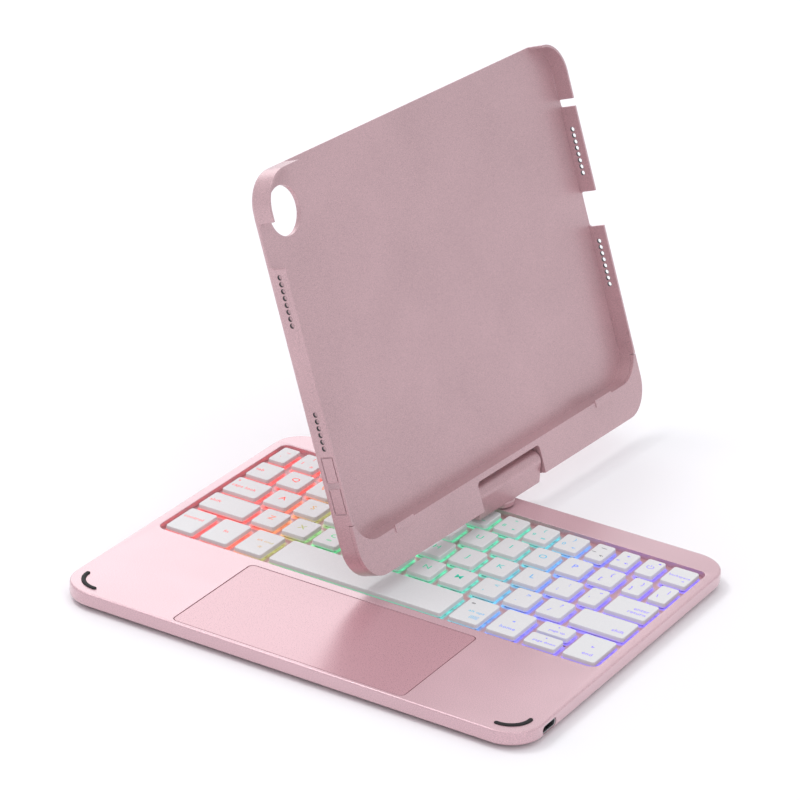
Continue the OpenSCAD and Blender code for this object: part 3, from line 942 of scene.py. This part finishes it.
class ScatterTree:
    """Geometry Nodes that put one small shape on each of a set of points."""

    def __init__(self, name: str, material: Material) -> None:
        """Starts an empty tree.

        Args:
            name: name of the tree and of the piece.
            material: the pieces' material.
        """
        self.name = name
        self.material = material
        self.tree = bpy.data.node_groups.new(name, "GeometryNodeTree")
        self.face = self.tree.interface
        self.face.new_socket("Geometry", in_out="INPUT", socket_type="NodeSocketGeometry")
        self.face.new_socket("Geometry", in_out="OUTPUT", socket_type="NodeSocketGeometry")
        self.sizes: dict[str, float] = {}

    def size(self, name: str, value: float) -> None:
        """Adds a named size to the tree."""
        self.face.new_socket(name, in_out="INPUT", socket_type="NodeSocketFloat")
        self.sizes[name] = value

    def node(self, kind: str, inputs: dict, **settings: object) -> Socket:
        """Adds a node and returns its first output."""
        return new_node(self.tree, kind, inputs, **settings).outputs[0]

    def geometry(self, kind: str, inputs: dict, **settings: object) -> Socket:
        """Adds a geometry node and returns its first output."""
        return self.node("GeometryNode" + kind, inputs, **settings)

    def times(self, value: Socket, factor: float) -> Socket:
        """Multiplies a value."""
        return self.node("ShaderNodeMath", {0: value, 1: factor}, operation="MULTIPLY")

    def cylinder(self, vertices: int, radius: Socket, depth: Socket | float) -> Socket:
        """Adds an upright cylinder."""
        inputs = {"Vertices": vertices, "Radius": radius, "Depth": depth}
        return self.geometry("MeshCylinder", inputs, fill_type="NGON")

    def cut(self, body: Socket, tool: Socket) -> Socket:
        """Cuts one shape out of another."""
        inputs = {"Mesh 1": body, "Mesh 2": tool}
        return self.geometry("MeshBoolean", inputs, operation="DIFFERENCE")

    def moved(self, shape: Socket, way: Socket | Sequence[float]) -> Socket:
        """Moves a shape."""
        return self.geometry("Transform", {"Geometry": shape, "Translation": way})

    def given(self) -> tuple[Socket, ...]:
        """Adds the tree's inputs and returns the geometry and the sizes."""
        outputs = self.tree.nodes.new("NodeGroupInput").outputs
        return tuple(outputs[name] for name in ("Geometry", *self.sizes))

    def scatter(
        self, shape: Socket, spots: Socket, points: Sequence[Sequence[float]], turn: Matrix
    ) -> Object:
        """Ends the tree, runs it on the points and returns a plain mesh.

        Args:
            shape: geometry of one piece.
            spots: the points, from the tree's inputs.
            points: places of the pieces.
            turn: rotation of every piece.

        Returns:
            The object.
        """
        inputs = {"Points": spots, "Instance": shape, "Rotation": tuple(turn.to_euler())}
        real = self.geometry(
            "RealizeInstances", {"Geometry": self.geometry("InstanceOnPoints", inputs)}
        )
        dressed = self.geometry("SetMaterial", {"Geometry": real, "Material": self.material})
        new_node(self.tree, "NodeGroupOutput", {"Geometry": dressed})
        mesh = bpy.data.meshes.new(self.name)
        mesh.from_pydata([tuple(p) for p in points], [], [])
        obj = link(self.name, mesh)
        modifier = obj.modifiers.new(self.name, "NODES")
        modifier.node_group = self.tree
        for item in self.face.items_tree:
            if item.in_out == "INPUT" and item.name in self.sizes:
                modifier[item.identifier] = self.sizes[item.name]
        apply_modifiers(obj)
        return obj

    def screws(
        self, points: Sequence[Sequence[float]], head_radius: float, head_height: float
    ) -> Object:
        """Screw heads with a cross recess, facing down, each with its shank."""
        self.size("Radius", head_radius)
        self.size("Height", head_height)
        spots, radius, height = self.given()
        head = self.cylinder(32, radius, height)
        long, slim = self.times(radius, 1.3), self.times(radius, 0.28)
        drop = self.node("ShaderNodeCombineXYZ", {"Z": self.times(height, -0.7)})
        for x, y in ((long, slim), (slim, long)):
            size = self.node("ShaderNodeCombineXYZ", {"X": x, "Y": y, "Z": height})
            bar = self.geometry("MeshCube", {"Size": size})
            head = self.cut(head, self.moved(bar, drop))
        shank = self.cylinder(20, self.times(radius, 0.5), 2.9 * MM)
        raised = self.moved(shank, (0.0, 0.0, head_height / 2 + 1.4 * MM))
        both = self.tree.nodes.new("GeometryNodeJoinGeometry")
        for part in (head, raised):
            self.tree.links.new(part, both.inputs[0])
        centred = self.moved(both.outputs[0], (0.0, 0.0, head_height / 2))
        return self.scatter(centred, spots, points, Matrix.Identity(3))

    def rims(
        self, points: Sequence[Sequence[float]], radius: float, depth: float, turn: Matrix
    ) -> Object:
        """Short sleeves that line round holes; dark ones put painted shade in them."""
        self.size("Radius", radius)
        self.size("Depth", depth)
        spots, outer, deep = self.given()
        bore = self.cylinder(24, self.times(outer, 0.92), self.times(deep, 1.5))
        return self.scatter(self.cut(self.cylinder(24, outer, deep), bore), spots, points, turn)


# ------------------------------------------------------------------ the keys


class Icon(Enum):
    """Small marks that are shapes and not letters."""

    LEFT = "left"
    RIGHT = "right"
    UP = "up"
    DOWN = "down"
    DOT = "dot"
    RING = "ring"
    BAR = "bar"
    STAR = "star"
    GRID = "grid"
    PILL = "pill"
    SPEAKER = "speaker"
    POWER = "power"
    PAIR = "pair"


@dataclass(frozen=True)
class Mark:
    """One legend on a key: text or an icon, its place from the key's middle and its height."""

    what: str | Icon
    x: float = 0.0
    y: float = 0.0
    size: float = 3.2
    align: str = "CENTER"
    lit: bool = True


def letter(text: str) -> tuple[Mark, ...]:
    """Legend of a letter key."""
    return (Mark(text, 0.1, 0.2, 4.1),)


def two(upper: str, lower: str) -> tuple[Mark, ...]:
    """Legend of a key with two signs."""
    return (Mark(upper, 1.2, 2.4, 3.2), Mark(lower, -1.3, -2.4, 3.2))


def digit(number: str, sign: str, icon: Icon) -> tuple[Mark, ...]:
    """Legend of a number key with its sign and a small icon."""
    return (Mark(sign, 0.0, 3.1, 2.9), Mark(number, -2.3, -1.8, 2.9), Mark(icon, 2.3, -3.1, 1.5))


@dataclass
class Keys:
    """The key caps, their legends and the light round them."""

    finishes: Finishes
    places: Places
    corner: float = 1.2 * MM
    step: int = 4
    body_marks: dict[str, list[tuple[Mark, ...]]] = field(default_factory=dict)
    spots: list[Box] = field(default_factory=list)

    def __post_init__(self) -> None:
        """Lists the legends, each node's keys from the left."""
        icons = [Icon.STAR, Icon.DOT, Icon.PAIR, Icon.GRID, Icon.RING]
        icons += [Icon.LEFT, Icon.BAR, Icon.RIGHT, Icon.PAIR, Icon.SPEAKER]
        digits = zip("1234567890", "!@#$%^&*()", icons)
        word = 2.6
        speaker = (1.7, -2.6, 1.5)
        self.body_marks = {
            "keys_numbers": [digit(*d) for d in digits],
            "keys_q_row": [*[letter(c) for c in "QWERTYUIOP"], two("{", "[")],
            "keys_a_row": [*[letter(c) for c in "ASDFGHJKL"], two(":", ";")],
            "keys_z_row": [
                letter("Z"),
                letter("X"),
                (Mark("C", 0.1, 1.0, 3.7), Mark(Icon.PILL, 0.2, -2.9, 1.7)),
                *[letter(c) for c in "VBNM"],
                two("<", ","),
                two(">", "."),
                two("?", "/"),
            ],
            "key_grave": [(Mark("~", 0.6, 2.3, 3.0), Mark("`", -0.6, -2.6, 3.0))],
            "key_minus": [
                (
                    Mark(Icon.BAR, 0.0, 3.4, 2.2, lit=False),
                    Mark(Icon.BAR, -2.0, -0.9, 1.7, lit=False),
                    Mark(Icon.SPEAKER, *speaker, lit=False),
                )
            ],
            "key_equals": [
                (Mark("+", 0.0, 2.9, 3.0), Mark("=", -2.0, -1.9, 2.6), Mark(Icon.SPEAKER, *speaker))
            ],
            "key_power": [(Mark(Icon.POWER, -0.1, 0.2, 3.2), Mark(Icon.DOT, 1.9, 4.2, 1.0))],
            "key_backspace": [
                (Mark("backspace", 4.4, -0.2, 2.0, "RIGHT"), Mark(Icon.LEFT, 2.7, -3.2, 1.2))
            ],
            "key_tab": [(Mark("tab", -3.9, 0.0, word, "LEFT"),)],
            "key_bracket": [two("}", "]")],
            "key_backslash": [two("|", "\\")],
            "key_caps": [
                (Mark("caps lock", -6.2, -0.6, word, "LEFT"), Mark(Icon.DOT, -5.6, 3.6, 0.9))
            ],
            "key_quote": [two('"', "'")],
            "key_enter": [
                (Mark("enter", 7.0, 0.1, word, "RIGHT"), Mark("return", 7.0, -2.8, word, "RIGHT"))
            ],
            "key_shift_left": [(Mark("shift", -8.6, 0.2, word, "LEFT"),)],
            "key_shift_right": [(Mark("shift", 9.3, -2.7, word, "RIGHT"),)],
            "key_control": [(Mark("control", -4.6, 2.2, word, "LEFT"),)],
            "key_fn": [(Mark("fn", 0.2, 0.0, word),)],
            "key_command": [
                (Mark("alt cmd", 4.6, 1.6, 2.1, "RIGHT"), Mark(Icon.STAR, 1.8, -3.0, 2.0))
            ],
            "key_space": [()],
            "key_option": [
                (
                    Mark("alt opt", 4.4, -0.6, 2.2, "RIGHT"),
                    Mark(Icon.GRID, 2.3, -4.6, 2.4),
                    Mark(Icon.PILL, -3.0, 4.9, 1.2, lit=False),
                )
            ],
            "key_home": [(Mark(Icon.LEFT, 0.2, 1.2, 1.4), Mark("home", 0.6, -4.2, word))],
            "key_page_up": [(Mark(Icon.UP, 0.2, 1.9, 1.0), Mark("page up", 0.9, -1.3, 1.9))],
            "key_page_down": [(Mark(Icon.DOWN, 0.2, 1.9, 1.0), Mark("page down", 0.9, -1.1, 1.9))],
            "key_end": [(Mark(Icon.RIGHT, 0.8, 1.0, 1.5), Mark("end", 1.4, -4.6, 2.6))],
        }

    def build(self) -> None:
        """Builds caps, legends and the glow on the plate."""
        for node, marks in self.body_marks.items():
            rects = self.rects(node)
            self.spots += rects
            self.caps(node, rects)
            self.legends(node, rects, marks, True)
            self.legends(node, rects, marks, False)
        self.glow()

    def rects(self, node: str) -> list[Box]:
        """Boxes of the separate caps in a CAD node, from the left."""
        mesh = frame["nodes"][node].data
        faces = [[mesh.vertices[i].co.x for i in p.vertices] for p in mesh.polygons]
        spans = sorted((min(xs), max(xs)) for xs in faces)
        joined: list[list[float]] = []
        for a, b in spans:
            if joined and a < joined[-1][1] + 0.2 * MM:
                joined[-1][1] = max(joined[-1][1], b)
            else:
                joined.append([a, b])
        low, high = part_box(node)
        return [(Vector((a, low.y, low.z)), Vector((b, high.y, high.z))) for a, b in joined]

    def caps(self, node: str, rects: list[Box]) -> None:
        """Caps with a soft top edge, slightly tapered, hollow below."""
        shell = Shell()
        edge, taper, skin = 0.34 * MM, 0.1 * MM, 0.8 * MM
        for low, high in rects:
            first, last, steps = (low.x, low.y), (high.x, high.y), self.step + 2
            outer = [(0.0, low.z), (0.0, low.z + 0.25 * MM)]
            outer += [(taper + inset, high.z - drop) for inset, drop in fillet(edge, 4)]
            rings = shell.tower(first, last, self.corner, outer, steps)
            hollow = [(skin, low.z), (skin, low.z + 1.1 * MM)]
            inner = shell.tower(first, last, self.corner, hollow, steps)
            shell.cap(rings[-1])
            shell.bridge(inner[0], rings[0])
            shell.cap(inner[-1])
        seat(shell.build(node + "_caps", self.finishes.cap), node, Slot.KEY, node)

    def legends(
        self, node: str, rects: list[Box], marks: list[tuple[Mark, ...]], lit: bool
    ) -> None:
        """Legends on one node's caps, a hair above the tops.

        Args:
            node: the CAD node.
            rects: boxes of its caps.
            marks: the legends of each cap.
            lit: which of them to make, the lit or the unlit.
        """
        points: list[Vector] = []
        faces: list[list[int]] = []
        for (low, high), here in zip(rects, marks):
            centre = Vector(((low.x + high.x) / 2, (low.y + high.y) / 2, high.z + 0.012 * MM))
            for mark in here:
                if mark.lit != lit:
                    continue
                middle = centre + Vector((mark.x * MM, mark.y * MM, 0.0))
                for outline, tris in self.shapes(mark):
                    start = len(points)
                    points += [middle + Vector((x, y, 0.0)) for x, y in outline]
                    faces += [[start + i for i in t] for t in tris]
        if not faces:
            return
        ink = self.finishes.legend if lit else self.finishes.legend_dark
        obj = flat_piece(node + ("_legends" if lit else "_marks"), points, faces, ink)
        seat(obj, node, Slot.KEY, smooth=0)

    def shapes(self, mark: Mark) -> list[Flat]:
        """Flat shapes of one mark, as outlines with their faces, centred as the mark says."""
        if isinstance(mark.what, str):
            return [self.text(mark)]
        s = mark.size * MM / 2
        triangle = [(-0.8, -0.8), (0.9, 0.0), (-0.8, 0.8)]
        turns = {Icon.RIGHT: 0, Icon.UP: 90, Icon.LEFT: 180, Icon.DOWN: 270}
        if mark.what in turns:
            a = math.radians(turns[mark.what])
            c, d = s * math.cos(a), s * math.sin(a)
            return [([(x * c - y * d, x * d + y * c) for x, y in triangle], [(0, 1, 2)])]
        if mark.what is Icon.DOT:
            return [(circle((0, 0), s, 14), [tuple(range(14))])]
        if mark.what is Icon.BAR:
            return [self.patch(0, 0, s, 0.16 * MM)]
        if mark.what is Icon.RING:
            return [self.arc(0, s, 0.13 * MM)]
        if mark.what is Icon.POWER:
            bar = self.patch(0, s * 0.62, 0.14 * MM, s * 0.42)
            return [self.arc(0, s * 0.8, 0.14 * MM, 125, 415), bar]
        if mark.what is Icon.PAIR:
            return [
                ([(s * (x + shift) * 0.8, s * y) for x, y in triangle], [(0, 1, 2)])
                for shift in (-0.75, 0.75)
            ]
        if mark.what is Icon.SPEAKER:
            half = [(-0.9, -0.35), (-0.4, -0.35), (0.2, -0.85)]
            cone = [(s * x, s * y) for x, y in half + [(x, -y) for x, y in half[::-1]]]
            return [(cone, [tuple(range(6))]), self.arc(0.1 * s, 0.8 * s, 0.09 * MM, -40, 40)]
        if mark.what is Icon.STAR:
            rays = [polar((0, 0), 0.85 * s, math.tau * i / 6) for i in range(6)]
            dots = [self.patch(x, y, 0.13 * MM, 0.13 * MM) for x, y in rays]
            return [self.arc(0, 0.4 * s, 0.12 * MM), *dots]
        if mark.what is Icon.PILL:
            return [self.arc(x * s, 0.5 * s, 0.13 * MM) for x in (-0.45, 0.55)]
        cells = [
            self.patch((i - 1.5) * 0.55 * s, (j - 1) * 0.42 * s, 0.17 * s, 0.13 * s)
            for i in range(4)
            for j in range(3)
        ]
        rows = [self.patch(0, y, 1.35 * s, 0.07 * MM) for y in (-0.85 * s, 0.85 * s)]
        sides = [self.patch(x, 0, 0.07 * MM, 0.85 * s) for x in (-1.3 * s, 1.3 * s)]
        return cells + rows + sides

    @staticmethod
    def patch(x: float, y: float, half_w: float, half_h: float) -> Flat:
        """A flat rectangle."""
        signs = ((-1, -1), (1, -1), (1, 1), (-1, 1))
        return [(x + u * half_w, y + v * half_h) for u, v in signs], [(0, 1, 2, 3)]

    @staticmethod
    def arc(x: float, radius: float, half: float, start: float = 0, end: float = 360) -> Flat:
        """A flat strip along an arc."""
        n = 20
        points = []
        for i in range(n + 1):
            a = math.radians(start + (end - start) * i / n)
            points += [polar((x, 0), radius - half, a), polar((x, 0), radius + half, a)]
        return points, [(2 * i, 2 * i + 1, 2 * i + 3, 2 * i + 2) for i in range(n)]

    @staticmethod
    def text(mark: Mark) -> tuple[list[Point], list[Sequence[int]]]:
        """Letters as a flat mesh, centred in height on the mark's place."""
        curve = bpy.data.curves.new("letters", "FONT")
        curve.body = mark.what
        curve.size = mark.size * MM
        curve.align_x = mark.align
        curve.align_y = "CENTER"
        curve.space_character = 1.06
        curve.resolution_u = 3
        curve.offset = 0.006 * mark.size * MM
        carrier = link("letters", curve)
        bpy.context.view_layer.update()
        graph = bpy.context.evaluated_depsgraph_get()
        mesh = bpy.data.meshes.new_from_object(carrier.evaluated_get(graph), depsgraph=graph)
        outline = [(v.co.x, v.co.y) for v in mesh.vertices]
        faces = [tuple(p.vertices) for p in mesh.polygons]
        bpy.data.objects.remove(carrier)
        bpy.data.curves.remove(curve)
        bpy.data.meshes.remove(mesh)
        return outline, faces

    def glow(self) -> None:
        """Thin frames on the plate round each key, which carry the spilled light."""
        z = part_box("key_plate")[1].z + 0.02 * MM
        levels = [(0.75, 1.0), (-0.1, 1.0), (-0.45, 0.6), (-0.85, 0.28), (-1.3, 0.02)]
        shell = Shell()
        lit: list[float] = []
        for low, high in self.spots:
            first, last = (low.x, low.y), (high.x, high.y)
            profile = [(inset * MM, z) for inset, _ in levels]
            rings = shell.tower(first, last, self.corner, profile, 4)
            for (_, value), ring in zip(levels, rings):
                lit += [value] * len(ring)
        obj = flat_piece("key_light", shell.points, shell.faces, self.finishes.glow)
        layer = obj.data.attributes.new("lit", "FLOAT", "POINT")
        layer.data.foreach_set("value", lit)
        seat(obj, "base", Slot.PLATE, smooth=0)


# ------------------------------------------------------------------ the hinge


@dataclass
class HingeBlock:
    """Block that swivels on the deck: a barrel on a plate, with a round boss."""

    finishes: Finishes
    places: Places
    half_w: float = 21.3 * MM
    barrel_r: float = 4 * MM
    barrel_y: float = -1.8 * MM
    barrel_z: float = 17.4 * MM
    foot: float = 9 * MM
    boss_r: float = 6.8 * MM
    boss_low: float = 7.4 * MM
    boss_high: float = 13.9 * MM

    def outline(self, inset: float) -> list[Point]:
        """Profile of barrel and plate in the YZ plane, pulled in by an inset."""
        r = self.barrel_r - inset
        middle = (self.barrel_y, self.barrel_z)
        points = [polar(middle, r, math.pi * i / 24) for i in range(25)]
        corner = 0.7 * MM
        low = self.foot + inset + corner
        for y, start in ((self.barrel_y - r + corner, 180.0), (self.barrel_y + r - corner, 270.0)):
            points += [polar((y, low), corner, math.radians(start + 22.5 * i)) for i in range(5)]
        return points

    def build(self) -> None:
        """Builds the block and its boss as one piece."""
        shell = Shell(self.places.swivel)
        walk = [(-1, step) for step in fillet(0.5 * MM, 4)[::-1]]
        walk += [(1, step) for step in fillet(0.5 * MM, 4)]
        shell.close(
            [
                shell.ring([(side * (self.half_w - drop), y, z) for y, z in self.outline(inset)])
                for side, (inset, drop) in walk
            ]
        )
        obj = shell.build("hinge_body", self.finishes.hinge)
        boss = Shell(self.places.swivel)
        ring_top = self.boss_low + 2.3 * MM
        neck = self.boss_r - 1.1 * MM
        profile = [(self.boss_r - 0.4 * MM, self.boss_low), (self.boss_r, self.boss_low + 0.3 * MM)]
        profile += [(self.boss_r - inset, ring_top - drop) for inset, drop in fillet(0.6 * MM, 4)]
        profile += [(neck + 0.15 * MM, ring_top + 0.05 * MM), (neck, ring_top + 0.25 * MM)]
        dome = 3.0 * MM
        for i in range(9):
            a = math.pi / 2 * i / 9
            drop = dome * (1 - math.sin(a))
            profile.append((neck - dome * (1 - math.cos(a)), self.boss_high - drop))
        boss.close([boss.ring(circle((0, 0), r, 56), z) for r, z in profile])
        combine(obj, boss.build("boss_tool", self.finishes.hinge), "UNION")
        paint(obj, self.finishes.hinge)
        seat(obj, "swivel", Slot.HINGE, "hinge_block", smooth=38)


# ------------------------------------------------------------------ the tray


@dataclass
class Tray:
    """Tray for the tablet: back shell, chin cover and volume tabs."""

    finishes: Finishes
    places: Places
    half_w: float = 98.95 * MM
    low_z: float = -5.6 * MM
    high_z: float = 144.35 * MM
    front: float = -4.4 * MM
    back: float = 4.2 * MM
    corner: float = 13.25 * MM
    back_round: float = 1.7 * MM
    glass_z: float = 8.3 * MM

    def on_rim(self, point: Vector) -> bool:
        """Tells whether a point, in the tray's coordinates, lies on the back face's outer edge."""
        if abs(point.y - self.back) > 0.02 * MM:
            return False
        half_h = (self.high_z - self.low_z) / 2
        across = abs(point.x) - self.half_w + self.corner
        up = abs(point.z - self.low_z - half_h) - half_h + self.corner
        reach = math.hypot(across, up) if min(across, up) > 0 else max(across, up)
        return abs(reach - self.corner) < 0.04 * MM

    def round_back(self, obj: Object) -> None:
        """Rounds the outer edge of the back face."""
        inward = self.places.tray.inverted()
        mesh = obj.data
        rim = [self.on_rim(inward @ v.co) for v in mesh.vertices]
        weights = mesh.attributes.new("bevel_weight_edge", "FLOAT", "EDGE")
        values = [float(all(rim[i] for i in e.vertices)) for e in mesh.edges]
        weights.data.foreach_set("value", values)
        bevel = obj.modifiers.new("rim", "BEVEL")
        bevel.width = self.back_round
        bevel.segments = 6
        bevel.limit_method = "WEIGHT"
        bevel.use_clamp_overlap = False
        apply_modifiers(obj)

    def build(self) -> None:
        """Builds the tray's pieces."""
        pieces = (
            ("back_shell", "tray_shell", "tray", 0.14, 2, 50),
            ("chin_cover", "chin_plate", "tray", 0.14, 2, 50),
            ("volume_up", "volume_up_tab", "volume_up", 0.22, 3, 38),
            ("volume_down", "volume_down_tab", "volume_down", 0.22, 3, 38),
        )
        for node, name, body, width, segments, angle in pieces:
            obj = merged_copy(node, name)
            if node == "back_shell":
                self.round_back(obj)
            soften(obj, width * MM, segments, angle)
            paint(obj, self.finishes.tray)
            seat(obj, body, Slot.ROSE, node, smooth=40)
        self.painted_shade_sleeves()

    def painted_shade_sleeves(self) -> None:
        """Dark sleeves lining the sound holes of both side walls, as painted shade inside the holes."""
        middle, pitch = self.front + 3.6 * MM, 2.5
        spots = []
        for side, start, count in ((-1, 82.5, 8), (-1, 37.4, 6), (1, 82.5, 8), (1, 37.4, 8)):
            x = side * (self.half_w - 0.54 * MM)
            for i in range(count):
                spots.append((x, middle, self.glass_z + (start + pitch * i) * MM))
        turn = (self.places.tray.to_3x3() @ Matrix.Rotation(math.pi / 2, 3, "Y")).normalized()
        # the sleeves take the black tongue finish: painted shade in the sound holes
        tree = ScatterTree("sound_hole_painted_shade_sleeves", self.finishes.tongue)
        placed = [self.places.tray @ Vector(p) for p in spots]
        seat(tree.rims(placed, 0.95 * MM, 0.8 * MM, turn), "tray", Slot.ROSE)


# ------------------------------------------------------------------ the studio


@dataclass
class Studio:
    """Pale floor, soft lights and the camera."""

    places: Places
    eye: tuple[float, float, float] = (570.9, -1055.8, 619.8)
    look: tuple[float, float, float] = (-0.43580, 0.79947, -0.41344)
    up: tuple[float, float, float] = (-0.25479, 0.33098, 0.90859)
    lens: float = 169.3

    def build(self) -> None:
        """Builds camera, floor, world and lights."""
        self.camera()
        self.floor()
        self.world()
        self.lights()

    def camera(self) -> None:
        """Camera at the viewing angle of the picture."""
        data = bpy.data.cameras.new("camera")
        data.lens = self.lens
        data.sensor_width = 36.0
        data.clip_start, data.clip_end = 0.05, 20.0
        obj = link("camera", data)
        forward = Vector(self.look).normalized()
        right = forward.cross(Vector(self.up)).normalized()
        upward = right.cross(forward)
        turn = Matrix((right, upward, -forward)).transposed()
        place = Matrix.Translation(self.places.base @ (Vector(self.eye) * MM))
        obj.matrix_world = place @ turn.to_4x4()
        bpy.context.scene.camera = obj

    def floor(self) -> None:
        """A wide pale floor."""
        mesh = bpy.data.meshes.new("floor")
        half = 6.0
        corners = [(-half, -half, 0), (half, -half, 0), (half, half, 0), (-half, half, 0)]
        mesh.from_pydata(corners, [], [(0, 1, 2, 3)])
        book = NodeBook("studio_floor")
        pale = (0.93, 0.925, 0.94, 1.0)
        book.feed({"Base Color": pale, "Roughness": 0.75, "Specular IOR Level": 0.15})
        mesh.materials.append(book.material)
        link("floor", mesh)

    def world(self) -> None:
        """An even pale sky."""
        world = bpy.data.worlds.new("studio")
        world.use_nodes = True
        background = world.node_tree.nodes["Background"]
        background.inputs["Color"].default_value = (0.96, 0.965, 1.0, 1.0)
        background.inputs["Strength"].default_value = 0.74
        bpy.context.scene.world = world
        bpy.context.scene.view_settings.view_transform = "Standard"

    def lights(self) -> None:
        """Soft boxes: overhead, behind on the left, above on the left and at the front right."""
        self.panel("overhead", (0.15, -0.1, 1.6), (0.0, 0.0, 0.0), (1.8, 1.4), 5.0)
        self.panel("rear_left", (-1.56, 1.42, 1.0), (0.0, 0.0, 0.02), (1.66, 1.2), 9.2)
        self.panel("upper_left", (-0.75, -0.2, 1.5), (0.0, 0.0, 0.02), (0.45, 0.45), 6.5)
        self.panel("front_right", (1.5, -1.0, 0.9), (0.0, 0.0, 0.08), (0.9, 0.9), 4.0)

    def panel(
        self, name: str, at: Sequence[float], aim: Sequence[float], size: Point, power: float
    ) -> None:
        """Adds one soft box.

        Args:
            name: its name.
            at: where it stands.
            aim: what it points at.
            size: its width and height.
            power: its power in watts.
        """
        data = bpy.data.lights.new(name, "AREA")
        data.shape = "RECTANGLE"
        data.size, data.size_y = size
        data.energy = power
        obj = link(name, data)
        way = Vector(aim) - Vector(at)
        turn = way.to_track_quat("-Z", "Y").to_matrix()
        obj.matrix_world = Matrix.Translation(at) @ turn.to_4x4()


def main() -> None:
    """Builds the object's looks and the studio."""
    logging.basicConfig(level=logging.INFO, format="%(message)s")
    places = Places()
    Studio(places).build()
    finishes = Finishes()
    finishes.dress_frame()
    KeyboardBase(finishes, places).build()
    Keys(finishes, places).build()
    HingeBlock(finishes, places).build()
    Tray(finishes, places).build()


if __name__ == "__main__":
    main()
